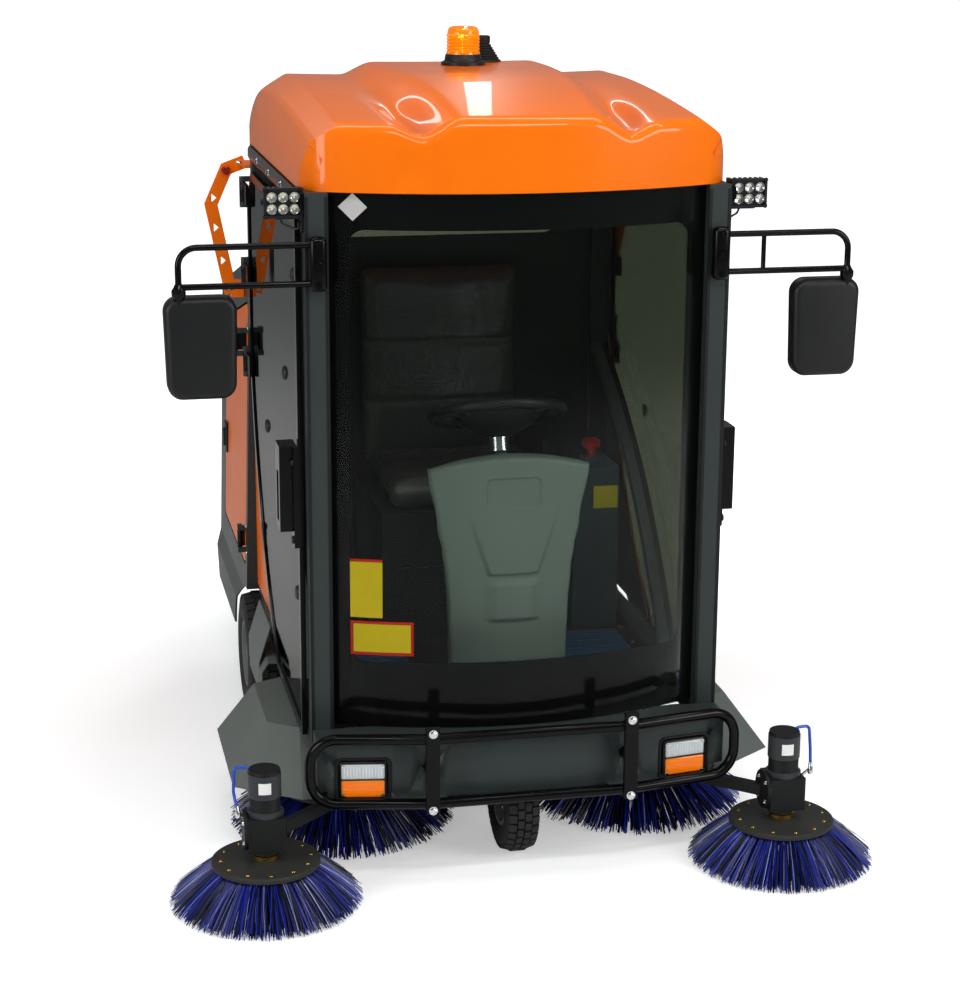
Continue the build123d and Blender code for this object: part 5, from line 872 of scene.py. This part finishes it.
def stuffed(name, low, high, groove_axis, grooves):
    """A foam pad: a block shrunk a little, blown up by cloth simulation, then sewn along grooves."""
    low, high = Vector(low), Vector(high)
    inset = Vector((PAD_CREEP, PAD_CREEP, PAD_CREEP)) * 0.8
    bm = bmesh.new()
    rounded_block(bm, low + inset, high - inset, PAD_RADIUS, segments=6)
    bmesh.ops.recalc_face_normals(bm, faces=bm.faces)
    mesh = bpy.data.meshes.new(name)
    bm.to_mesh(mesh)
    bm.free()
    pad = bpy.data.objects.new(name, mesh)
    bpy.context.scene.collection.objects.link(pad)
    remesh = pad.modifiers.new("even faces", "REMESH")
    remesh.mode = "VOXEL"
    remesh.voxel_size = PAD_CELL
    bpy.context.view_layer.update()
    applied(pad)
    before = [vertex.co.copy() for vertex in pad.data.vertices]
    cloth = pad.modifiers.new("cloth", "CLOTH")
    cloth.settings.use_pressure = True
    cloth.settings.uniform_pressure_force = 4.0
    cloth.settings.effector_weights.gravity = 0.0
    cloth.settings.quality = 5
    for number in range(1, PAD_FRAMES + 1):
        bpy.context.scene.frame_set(number)
    applied(pad)
    bpy.context.scene.frame_set(1)
    middle, half = (low + high) / 2, (high - low) / 2
    thin = min(range(3), key=lambda axis: half[axis])
    for vertex, start in zip(pad.data.vertices, before):
        move = vertex.co - start
        if move.length > PAD_CREEP:
            vertex.co = start + move * (PAD_CREEP / move.length)
        for groove in grooves:
            out = vertex.co[thin] - middle[thin]
            if abs(out) > 0.4 * half[thin]:
                sink = GROOVE_DEPTH * math.exp(-((vertex.co[groove_axis] - groove) / GROOVE_REACH) ** 2)
                vertex.co[thin] -= math.copysign(sink, out)
        for axis in range(3):
            vertex.co[axis] = min(max(vertex.co[axis], low[axis] + 0.0005), high[axis] - 0.0005)
    finer = pad.modifiers.new("finer", "SUBSURF")
    finer.levels = finer.render_levels = 1
    pad.data.materials.clear()
    pad.data.materials.append(seat_vinyl)
    pad.data.shade_smooth()
    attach(pad, "machine")
    return pad


cushion = stuffed("seat_cushion", (-SEAT_HALF, -0.245, 0.800), (SEAT_HALF, 0.215, 0.895), 1, (-0.12, 0.02))
backrest = stuffed("seat_backrest", (-SEAT_HALF, 0.225, 0.800), (SEAT_HALF, 0.315, 1.445), 2, (1.02, 1.20))
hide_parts("seat_pads")
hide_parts("seat_pads")


# Cab interior. A grey console beside the seat with a red stop button and a blank plate,
# blue mats on the floor, and a bent grey bar with a rubber seal inside each door opening.
FLOOR_TOP, MAT_TOP = 0.4123, 0.4185
console_bm, plate_bm, mat_bm, stud_bm = [bmesh.new() for _ in range(4)]
rounded_block(console_bm, (0.305, -0.192, 0.4125), (0.445, 0.20, 0.900), 0.010)
rounded_block(console_bm, (0.335, -0.188, 0.895), (0.392, -0.132, 0.928), 0.008)
rounded_block(plate_bm, (0.366, -0.1935, 0.776), (0.438, -0.1918, 0.842), 0.0006, segments=1)
for low_x, high_x in ((-0.43, -0.215), (0.215, 0.43)):
    rounded_block(mat_bm, (low_x, -0.45, FLOOR_TOP), (high_x, -0.22, MAT_TOP), 0.002, segments=2)
    for rib in range(9):
        y = -0.435 + rib * 0.0255
        drawn(mat_bm, circle_section(0.0032, 6), [(low_x + 0.008, y, MAT_TOP), (high_x - 0.008, y, MAT_TOP)])
for side in (-1, 1):
    for y in (-0.47, -0.34, -0.20):
        turned(stud_bm, [(0.0, 0.004), (0.008, 0.003), (0.011, 0.0), (0.0, 0.0)], (side * 0.452, y, FLOOR_TOP),
               segments=16)
console_grey = powder_coat("blue-grey console paint", "#3D4B50", roughness=0.45, coat=0.1)
stop_red = moulded_plastic("red stop button", "#C4141A", roughness=0.3, grain=0.0, coat=0.4)
mat_blue = moulded_plastic("blue ribbed mat", "#1F4C77", roughness=0.6)
finished(console_bm, "seat_console", console_grey, "machine", slot="slate_paint")
spun("stop_button", stop_red, [(0.0, 0.0), (0.013, 0.0), (0.013, 0.020), (0.024, 0.026), (0.027, 0.034),
                               (0.026, 0.044), (0.018, 0.050), (0.0, 0.052)],
     (0.3635, -0.160, 0.9275), "orange_moulding", segments=32)
finished(plate_bm, "console_plate", notice_yellow, "machine", slot="black_band")
finished(mat_bm, "floor_mats", mat_blue, "machine", slot="battery_case")
finished(stud_bm, "floor_studs", chrome, "machine", slot="rim_steel")

ARCH_LINE = ((-0.480, 0.413), (-0.461, 0.447), (-0.391, 0.550), (-0.270, 0.700), (-0.138, 0.840),
             (0.080, 1.010), (0.313, 1.139), (0.334, 1.150))
BAR_SECTION = [(-0.014, -0.014), (0.014, -0.014), (0.014, 0.014), (-0.014, 0.014)]
BAR_SEAL_SECTION = [(-0.009, -0.008), (0.009, -0.012), (0.009, 0.012), (-0.009, 0.008)]
bar_bm, seal_bm = bmesh.new(), bmesh.new()
for side in (-1, 1):
    for bm, x, section in ((bar_bm, 0.506, BAR_SECTION), (seal_bm, 0.529, BAR_SEAL_SECTION)):
        bend = []
        for (y0, z0), (y1, z1) in zip(ARCH_LINE, ARCH_LINE[1:]):
            bend += [Vector((side * x, y0 + (y1 - y0) * step / 4, z0 + (z1 - z0) * step / 4))
                     for step in range(4)]
        bend.append(Vector((side * x, *ARCH_LINE[-1])))
        for _ in range(6):
            bend[1:-1] = [(before + point * 2 + after) / 4
                          for before, point, after in zip(bend, bend[1:], bend[2:])]
        drawn(bm, section, bend, side=(side, 0, 0))
bar_grey = powder_coat("grey bar paint", "#5B666A", roughness=0.4)
finished(bar_bm, "door_arch_bars", bar_grey, "machine", slot="slate_paint")
finished(seal_bm, "door_arch_seals", seal_rubber, "machine", slot="black_plastic")


# Doors. Toughened glass in a thin black frame, on three hinges, with a long loop handle
# and its lock in front, and the round buttons that clamp the glass.
ORANGE, ORANGE_GLOSS, ORANGE_DUST = "#EA6A00", 0.34, 0.05
DOOR_FRONT_Y, BUTTON_X, LOCK_X = -0.743, 0.5572, 0.574
dress(black_coat, "door_left", "door_right", edge=0.0015)
dress(powder_coat("orange powder coat", ORANGE, ORANGE_GLOSS, dust=ORANGE_DUST), "braces", "hood", edge=0.0015)
dress(powder_coat("orange powder coat over slate", ORANGE, ORANGE_GLOSS, dust=ORANGE_DUST,
                  inner=("#23292A", (1, 0, 0), 0.5455)), "quarter_panels", edge=0.001)
for side, name_side in ((1, "left"), (-1, "right")):
    bm = bmesh.new()
    for y, z in ((-0.457, 1.266), (-0.036, 1.025), (-0.660, 0.720), (-0.660, 1.560)):
        turned(bm, [(0.0, 0.0075), (0.010, 0.0075), (0.017, 0.005), (0.020, 0.0), (0.0, 0.0)],
               (side * BUTTON_X, y, z), axis=(side, 0, 0), segments=28)
    for cap_r, y, z in ((0.009, DOOR_FRONT_Y + 0.013, 0.885), (0.006, DOOR_FRONT_Y + 0.010, 1.09)):
        turned(bm, [(0.0, 0.006), (cap_r, 0.006), (cap_r + 0.0015, 0.004), (cap_r + 0.0015, 0.0), (0.0, 0.0)],
               (side * LOCK_X, y, z), axis=(side, 0, 0), segments=24)
    finished(bm, f"door_buttons_{name_side}", black_moulding, f"door_{name_side}", slot="black_plastic")


# Rear body, lids and hood. Folded sheet, slate on the sides and orange on the lids, with
# black hinges and latches, a rubber seal round each lid and a light in each rear corner.
LID_LEAN = 0.03019               # how far the lids' sides lean in per length upwards
BODY_LOW_HALF, BODY_TOP_HALF, BODY_FRONT_TOP, BODY_CREASE = 0.583, 0.551, 1.440, 0.380
LID_FRONT_Y, LID_REAR_Y, LATCH_Z = 0.435, 1.070, 0.75
TAIL_X, TAIL_Y, TAIL_Z, TAIL_RIB = 0.480, 1.211, 0.620, 0.006
dress(slate_coat, "rear_body", edge=0.002)
dress(powder_coat("black hinges on orange coat", "#0C0D0D", ORANGE_GLOSS, dust=ORANGE_DUST,
                  inner=("#E46A0A", (1, 0, LID_LEAN), 0.5960)), "side_lid_left", "side_lid_right", edge=0.0015)
dress(moulded_plastic("black bin plastic", "#1E2022", roughness=0.5), "hopper", edge=0.002)
dress(moulded_plastic("grey battery case", "#3A3C3E", roughness=0.5), "battery", edge=0.006)


def body_half(z):
    """Half the body's width above its crease."""
    lean = (BODY_LOW_HALF - BODY_TOP_HALF) / (BODY_FRONT_TOP - BODY_CREASE)
    return BODY_TOP_HALF + lean * (BODY_FRONT_TOP - z)


for side, name_side in ((1, "left"), (-1, "right")):
    bm = bmesh.new()
    # The latch's plate and its knob: place outwards, half thickness, start and end, half height, edge radius.
    for out, half_t, start, end, half_h, edge in ((0.004, 0.004, 0.085, 0.03, 0.05, 0.003),
                                                  (0.010, 0.005, 0.068, 0.047, 0.03, 0.004)):
        x = side * (body_half(LATCH_Z) + out)
        rounded_block(bm, (x - half_t, LID_REAR_Y - start, LATCH_Z - half_h),
                      (x + half_t, LID_REAR_Y - end, LATCH_Z + half_h), edge)
    finished(bm, f"lid_latch_{name_side}", black_moulding, f"side_lid_{name_side}", slot="black_plastic")
bolted("lid_hinge_bolts",
       [((side * (body_half(z) + 0.001), LID_FRONT_Y - 0.014, z + end), (side, 0, 0), 0.010, 0.004)
        for side in (-1, 1) for z in (0.56, 1.18) for end in (-0.0432, 0.0432)])

red_bm, amber_bm, body_bm = bmesh.new(), bmesh.new(), bmesh.new()
for side in (-1, 1):
    x = side * TAIL_X
    rounded_block(body_bm, (x - 0.045, TAIL_Y, TAIL_Z - 0.080),
                  (x + 0.045, TAIL_Y + 0.008, TAIL_Z + 0.080), 0.003)
    for bm, low, high in ((amber_bm, TAIL_Z + 0.028, TAIL_Z + 0.074), (red_bm, TAIL_Z - 0.074, TAIL_Z + 0.024)):
        rounded_block(bm, (x - 0.039, TAIL_Y + 0.004, low), (x + 0.039, TAIL_Y + 0.0132, high), 0.004)
        for rib in range(1, int((high - low) / TAIL_RIB)):
            z = low + rib * TAIL_RIB
            drawn(bm, circle_section(0.0008, 6), [(x + end, TAIL_Y + 0.0130, z) for end in (-0.035, 0.035)])
tail_red = tinted_clear("red tail lamp lens", "#C81410", glow=0.08, through=0.3)
finished(body_bm, "tail_lamp_bodies", lamp_black, "machine", "tail_lamps", slot="black_plastic")
finished(red_bm, "tail_lamp_red_lenses", tail_red, "machine", slot="amber_lens")
finished(amber_bm, "tail_lamp_amber_lenses", lamp_amber, "machine", slot="amber_lens")


# Wheel skirts. Folded slate sheet that closes the side between the door's swept edge and
# the rear wheel, bolted over the skirts below.
SKIRT_SHEET = ((0.6012, 0.262), (0.6012, 0.330), (0.5672, 0.436),
               (0.5642, 0.436), (0.5982, 0.329), (0.5982, 0.262))
bm = bmesh.new()
for side in (-1, 1):
    drawn(bm, [(-side * x, z) for x, z in SKIRT_SHEET], [(0, -0.080, 0), (0, 0.188, 0)], side=(-1, 0, 0))
finished(bm, "wheel_skirts", fender_coat, "machine", slot="slate_paint")


# Body braces. Bent orange straps with triangular holes, held by a red pin and by bolts.
BRACE_Y = 0.537
pin_bm, bolts = bmesh.new(), []
for side in (-1, 1):
    bolts += [((side * 0.601, BRACE_Y, 1.330), (0, -1, 0), 0.014),
              ((side * 0.570, 0.470, 1.7155), (0, 0, 1), 0.014)]
    turned(pin_bm, [(0.0, 0.012), (0.009, 0.012), (0.013, 0.008), (0.013, 0.0), (0.0, 0.0)],
           (side * 0.604, BRACE_Y, 1.686), axis=(0, -1, 0), segments=20)
bolted("brace_bolts", bolts)
pin_red = moulded_plastic("red pin cap", "#8E1712", roughness=0.3, grain=0.0, coat=0.3)
finished(pin_bm, "brace_pins", pin_red, "machine", slot="orange_paint")


# Tyres and wheels. Black rubber tyres with four rows of blocks, a little dusty in the
# grooves, on pressed steel wheels with five nuts round a greased hub cap.
def tyre_compound(name):
    """Tyre rubber: black, greyer with dust in patches."""
    material, tree, shader = new_finish(name)
    place = object_space(tree)
    dust = add_node(tree, "TexNoise", {"Vector": place, "Scale": 22.0, "Detail": 5.0})
    worn = add_node(tree, "MapRange", {"Value": dust.outputs[0], "From Min": 0.35, "From Max": 0.7})
    tint = add_node(tree, "Mix", {0: worn.outputs[0], 6: linear("#0E0E0E"), 7: linear("#1D1C1A")},
                    data_type="RGBA")
    grain = add_node(tree, "TexNoise", {"Vector": place, "Scale": 320.0, "Detail": 2.0})
    bump = add_node(tree, "Bump", {"Height": grain.outputs[0], "Strength": 0.2, "Distance": 0.0006})
    feed(tree, shader, {"Base Color": tint.outputs[2], "Normal": bump.outputs[0], "Roughness": 0.72})
    return material


tyre_rubber = tyre_compound("tyre rubber")
rim_paint = powder_coat("grey wheel paint", "#6B6F70", roughness=0.42)
TREAD, BLOCKS, NUT_CIRCLE = 0.008, 34, 0.052
TYRE_SHAPE = ((-0.86, 0.0), (-0.90, 0.06), (-0.985, 0.25), (-1.0, 0.45), (-0.98, 0.62), (-0.93, 0.76),
              (-0.72, 0.955), (0.0, 1.0))
# Each row of blocks: its place across, its width, and its turn in steps.
BLOCK_ROWS = ((-0.68, 0.44, 0.0), (-0.22, 0.36, 0.5), (0.22, 0.36, 0.0), (0.68, 0.44, 0.5))
REAR_SIZES = (0.195, 0.120, 0.1055, 0.040)
for node, rim_node, body, middle, (radius, width, bore, nut_depth), nut_sides in (
    ("front_tyre", "front_rim", "front_wheel", (0, -0.767, 0.160), (0.160, 0.092, 0.0905, 0.030), (-1, 1)),
    ("rear_tyre_left", "rear_rim_left", "rear_wheel_left", (0.538, 0.405, 0.195), REAR_SIZES, (1,)),
    ("rear_tyre_right", "rear_rim_right", "rear_wheel_right", (-0.538, 0.405, 0.195), REAR_SIZES, (-1,)),
):
    centre, half, height = Vector(middle), width / 2 * 0.995, radius - bore
    outline = [(bore + up * (height - TREAD), across * half) for across, up in TYRE_SHAPE]
    outline += [(out, -along) for out, along in reversed(outline[:-1])]
    bm = bmesh.new()
    turned(bm, outline + outline[:1], centre, axis=(1, 0, 0), segments=96)
    bmesh.ops.remove_doubles(bm, verts=bm.verts, dist=SEAM)
    for along, block_w, turn in BLOCK_ROWS:
        block = bmesh.ops.create_cube(bm, size=1.0)["verts"]
        top = radius - TREAD * 0.8 - (0.0 if abs(along) < 0.5 else 0.045 * height)
        bmesh.ops.scale(bm, vec=(block_w * half, math.tau * radius / BLOCKS * 0.74, TREAD * 1.6), verts=block)
        bmesh.ops.translate(bm, vec=(along * half, 0.0, top - 0.0006), verts=block)
        for vertex in block:
            vertex.co.y += math.copysign(0.003, vertex.co.x)
            if vertex.co.z > top and abs(vertex.co.x) > 0.85 * half:
                vertex.co.z -= 0.006
        ahead_by = Matrix.Rotation(turn * math.tau / BLOCKS, 3, "X")
        bmesh.ops.rotate(bm, cent=(0, 0, 0), matrix=ahead_by, verts=block)
        bmesh.ops.translate(bm, vec=centre, verts=block)
        faces = list({face for vertex in block for face in vertex.link_faces})
        bmesh.ops.spin(bm, geom=faces, cent=centre, axis=(1, 0, 0), angle=math.tau * (BLOCKS - 1) / BLOCKS,
                       steps=BLOCKS - 1, use_duplicate=True)
    finished(bm, f"{node}_tread", tyre_rubber, body, node, slot="tyre_rubber")
    dress(rim_paint, rim_node, edge=0.002)
    bolted(f"{node}_nuts",
           [(centre + Vector((way * (width / 2 - nut_depth + 0.0002), a, b)), (way, 0, 0), 0.015, 0.009)
            for way in nut_sides for a, b in circle_section(NUT_CIRCLE, 5)], body)


# Side brushes. Two in front, each a round black disc under a gearbox and an electric motor,
# on an arm that lifts, and two larger ones below the cab. The bristles are blue and black
# plastic in bundles set into the disc.
def bristle_plastic(name):
    """Round plastic bristles: each its own colour, from blue to black, and a few strands paler."""
    material, tree, shader = new_finish(name)
    own = add_node(tree, "Attribute", {}, attribute_name="bristle")
    split = add_node(tree, "SeparateColor", {"Color": own.outputs["Color"]})
    blue = add_node(tree, "MapRange", {"Value": split.outputs["Red"], "From Min": 0.46, "From Max": 0.58})
    pale = add_node(tree, "MapRange", {"Value": split.outputs["Green"], "From Min": 0.93, "From Max": 0.97})
    shine = add_node(tree, "MapRange", {"Value": split.outputs["Blue"], "To Min": 0.3, "To Max": 0.5})
    deep = add_node(tree, "Mix", {0: blue.outputs[0], 6: linear("#0A0B0E"), 7: linear("#1A2A9C")},
                    data_type="RGBA")
    tint = add_node(tree, "Mix", {0: pale.outputs[0], 6: deep.outputs[2], 7: linear("#8F9BD8")},
                    data_type="RGBA")
    feed(tree, shader, {"Base Color": tint.outputs[2], "Roughness": shine.outputs[0]})
    return material


bristles = bristle_plastic("blue and black bristles")
disc_black = moulded_plastic("black brush disc", "#2C2D2A", roughness=0.6, patch=0.25)
brass = plated_metal("yellow brass", "#B08A3E", roughness=0.3)
BRISTLE_FLOOR, BRISTLE_TOP = 0.0045, 0.102
DISC_Z, DISC_T = 0.104, 0.014


def brush_ring(name, x, y, disc_r, tip_r, bundles, doublings, thick):
    """A side brush: the disc with its studs, and bundles of bristles that flare out and down."""
    spun(f"{name}_disc", disc_black, [
        (0.0, -0.016), (disc_r - 0.012, -0.016), (disc_r - 0.010, 0.0), (disc_r, 0.002), (disc_r, 0.010),
        (disc_r - 0.006, DISC_T - 0.0002), (0.055, DISC_T - 0.0002), (0.030, DISC_T + 0.004),
        (0.029, 0.0450), (0.0, 0.0450),
    ], (x, y, DISC_Z), "black_plastic", name, segments=64, body=name)
    bm = bmesh.new()
    for a, b in circle_section(disc_r - 0.024, 12):
        turned(bm, [(0.0, 0.003), (0.004, 0.0025), (0.0055, 0.0), (0.0, 0.0)],
               (x + a, y + b, DISC_Z + DISC_T - 0.0004), segments=10)
    turned(bm, [(0.0, 0.0), (0.034, 0.0), (0.034, 0.010), (0.026, 0.014), (0.026, 0.0275), (0.0, 0.0275)],
           (x, y, DISC_Z + DISC_T + 0.003), segments=24)
    finished(bm, f"{name}_hub", brass, name, slot="rim_steel")
    bm = bmesh.new()
    shade = bm.verts.layers.float_color.new("bristle")
    number = bm.verts.layers.int.new("strand")
    bmesh.ops.create_cone(bm, cap_ends=True, segments=3, radius1=thick, radius2=thick, depth=1.0)
    long_edges = [edge for edge in bm.edges if abs(edge.verts[0].co.z - edge.verts[1].co.z) > 0.5]
    bmesh.ops.subdivide_edges(bm, edges=long_edges, cuts=3)
    for doubling in range(doublings):
        for item in bmesh.ops.duplicate(bm, geom=list(bm.verts) + list(bm.edges) + list(bm.faces))["geom"]:
            if isinstance(item, bmesh.types.BMVert):
                item[number] += 2 ** doubling
    rng = random.Random(name)
    strands = []
    for strand in range(2 ** doublings):
        depth_in = rng.random()
        angle = math.tau * (strand % bundles) / bundles + rng.gauss(0, 0.22) * math.tau / bundles
        strands.append({
            "root": disc_r - 0.003 - 0.055 * (1 - depth_in) ** 1.2,
            "reach": min(disc_r + (tip_r - disc_r) * (0.36 + 0.64 * depth_in) * rng.uniform(0.93, 1.0),
                         tip_r - 0.002),
            "angle": angle,
            "tip": angle + rng.gauss(0, 0.03),
            "floor": BRISTLE_FLOOR + 0.016 * rng.random() ** 2,
            "color": (rng.random(), rng.random(), rng.random(), 1.0),
        })
    for vertex in bm.verts:
        strand, share = strands[vertex[number]], vertex.co.z + 0.5
        out = strand["root"] + (strand["reach"] - strand["root"]) * (0.72 * share + 0.28 * share * share)
        up = BRISTLE_TOP + (strand["floor"] - BRISTLE_TOP) * (0.45 * share + 0.55 * share ** 1.9) + vertex.co.y
        around = strand["angle"] + (strand["tip"] - strand["angle"]) * share
        vertex.co = (Vector((x + out * math.cos(around), y + out * math.sin(around), max(up, BRISTLE_FLOOR)))
                     + Vector((-math.sin(around), math.cos(around), 0)) * vertex.co.x)
        vertex[shade] = strand["color"]
    finished(bm, f"{name}_bristles", bristles, name, slot="bristles")


motor_grey = moulded_plastic("dark grey motor housing", "#2E3134", roughness=0.42, grain=0.05)
hose_blue = moulded_plastic("blue water hose", "#1B49B8", roughness=0.25, grain=0.0, coat=0.4)
dress(dark_steel, "brush_arm_left", "brush_arm_right", edge=0.003)
FRONT_BRUSH_X, FRONT_BRUSH_Y, UNDER_BRUSH_X, UNDER_BRUSH_Y = 0.690, -0.975, 0.420, -0.470
MOTOR_LOW, BOLT_OUT = 0.240, 0.038 * math.sqrt(0.5)
MOTOR_BOLTS = ((BOLT_OUT, BOLT_OUT), (-BOLT_OUT, BOLT_OUT), (-BOLT_OUT, -BOLT_OUT), (BOLT_OUT, -BOLT_OUT))
MOTOR_BANDS = ([(0.0405, 0.0), (0.047, 0.0), (0.047, 0.010), (0.0405, 0.014), (0.0405, 0.0)],
               [(0.0403, 0.050), (0.0425, 0.050), (0.0425, 0.112), (0.0403, 0.112), (0.0403, 0.050)])
MOTOR_LABEL = ((0.0427, 0.066), (0.0431, 0.066), (0.0431, 0.096), (0.0427, 0.096))
# How far out from the motor's axis, how far back and how high the hose runs.
HOSE = ((0.034, 0.012, 0.342), (0.034, 0.012, 0.362), (0.075, 0.018, 0.362), (0.078, 0.010, 0.300),
        (0.072, -0.012, 0.262))
for side, name_side in ((1, "left"), (-1, "right")):
    body, foot = f"brush_arm_{name_side}", Vector((side * FRONT_BRUSH_X, FRONT_BRUSH_Y, MOTOR_LOW))
    x, y, _ = foot
    bm = bmesh.new()
    for band in MOTOR_BANDS:
        turned(bm, band, foot, segments=40)
    bmesh.ops.remove_doubles(bm, verts=bm.verts, dist=SEAM)
    finished(bm, f"brush_motor_bands_{name_side}", motor_grey, body, slot="light_housing")
    bolted(f"brush_motor_bolts_{name_side}",
           [((x + a, y + b, 0.2407), (0, 0, 1), 0.009, 0.005) for a, b in MOTOR_BOLTS]
           + [((x - 0.0575, y + a, 0.2 + b), (-1, 0, 0), 0.008, 0.004) for a, b in MOTOR_BOLTS], body)
    bm = bmesh.new()
    points = [bm.verts.new(foot + Vector((-out * 0.45, -out * 0.893, up))) for out, up in MOTOR_LABEL]
    edges = [bm.edges.new(pair) for pair in zip(points, points[1:] + points[:1])]
    bmesh.ops.spin(bm, geom=points + edges, cent=foot, axis=(0, 0, 1), angle=0.75, steps=8, use_duplicate=False)
    bmesh.ops.holes_fill(bm, edges=bm.edges, sides=4)
    finished(bm, f"brush_motor_label_{name_side}", notice_white, body, slot="lamp_lens")
    bm = bmesh.new()
    hose = round_path([(x + side * out, y + back, z) for out, back, z in HOSE], 0.012)
    drawn(bm, circle_section(0.0042, 12), hose)
    finished(bm, f"brush_hose_{name_side}", hose_blue, body, slot="battery_case")
    bm = bmesh.new()
    turned(bm, [(0.0, 0.0), (0.0055, 0.0), (0.0055, 0.012), (0.0075, 0.013), (0.0075, 0.026), (0.005, 0.030),
                (0.0, 0.030)],
           (x + side * 0.0725, y - 0.010, 0.268), axis=(-0.1 * side, -0.35, -0.93), segments=16)
    rounded_block(bm, (x + side * 0.0481 - 0.0006, y - 0.018, 0.226),
                  (x + side * 0.0481 + 0.0006, y + 0.002, 0.238), 0.0004, segments=1)
    drawn(bm, circle_section(0.004, 10), [(x + side * 0.047, y - 0.008, 0.232),
                                          (x + side * 0.070, y - 0.012, 0.252)])
    finished(bm, f"brush_nozzle_{name_side}", chrome, body, slot="rim_steel")
    brush_ring(f"front_brush_{name_side}", x, y, 0.139, 0.250, 44, 12, 0.0013)
    brush_ring(f"under_brush_{name_side}", side * UNDER_BRUSH_X, UNDER_BRUSH_Y, 0.185, 0.318, 52, 11, 0.0019)


# Roller brush. A steel tube with ten rows of bristles, under a curved steel cover.
dress(moulded_plastic("dark roller bristles", "#151A2C", roughness=0.5), "roller_brush")
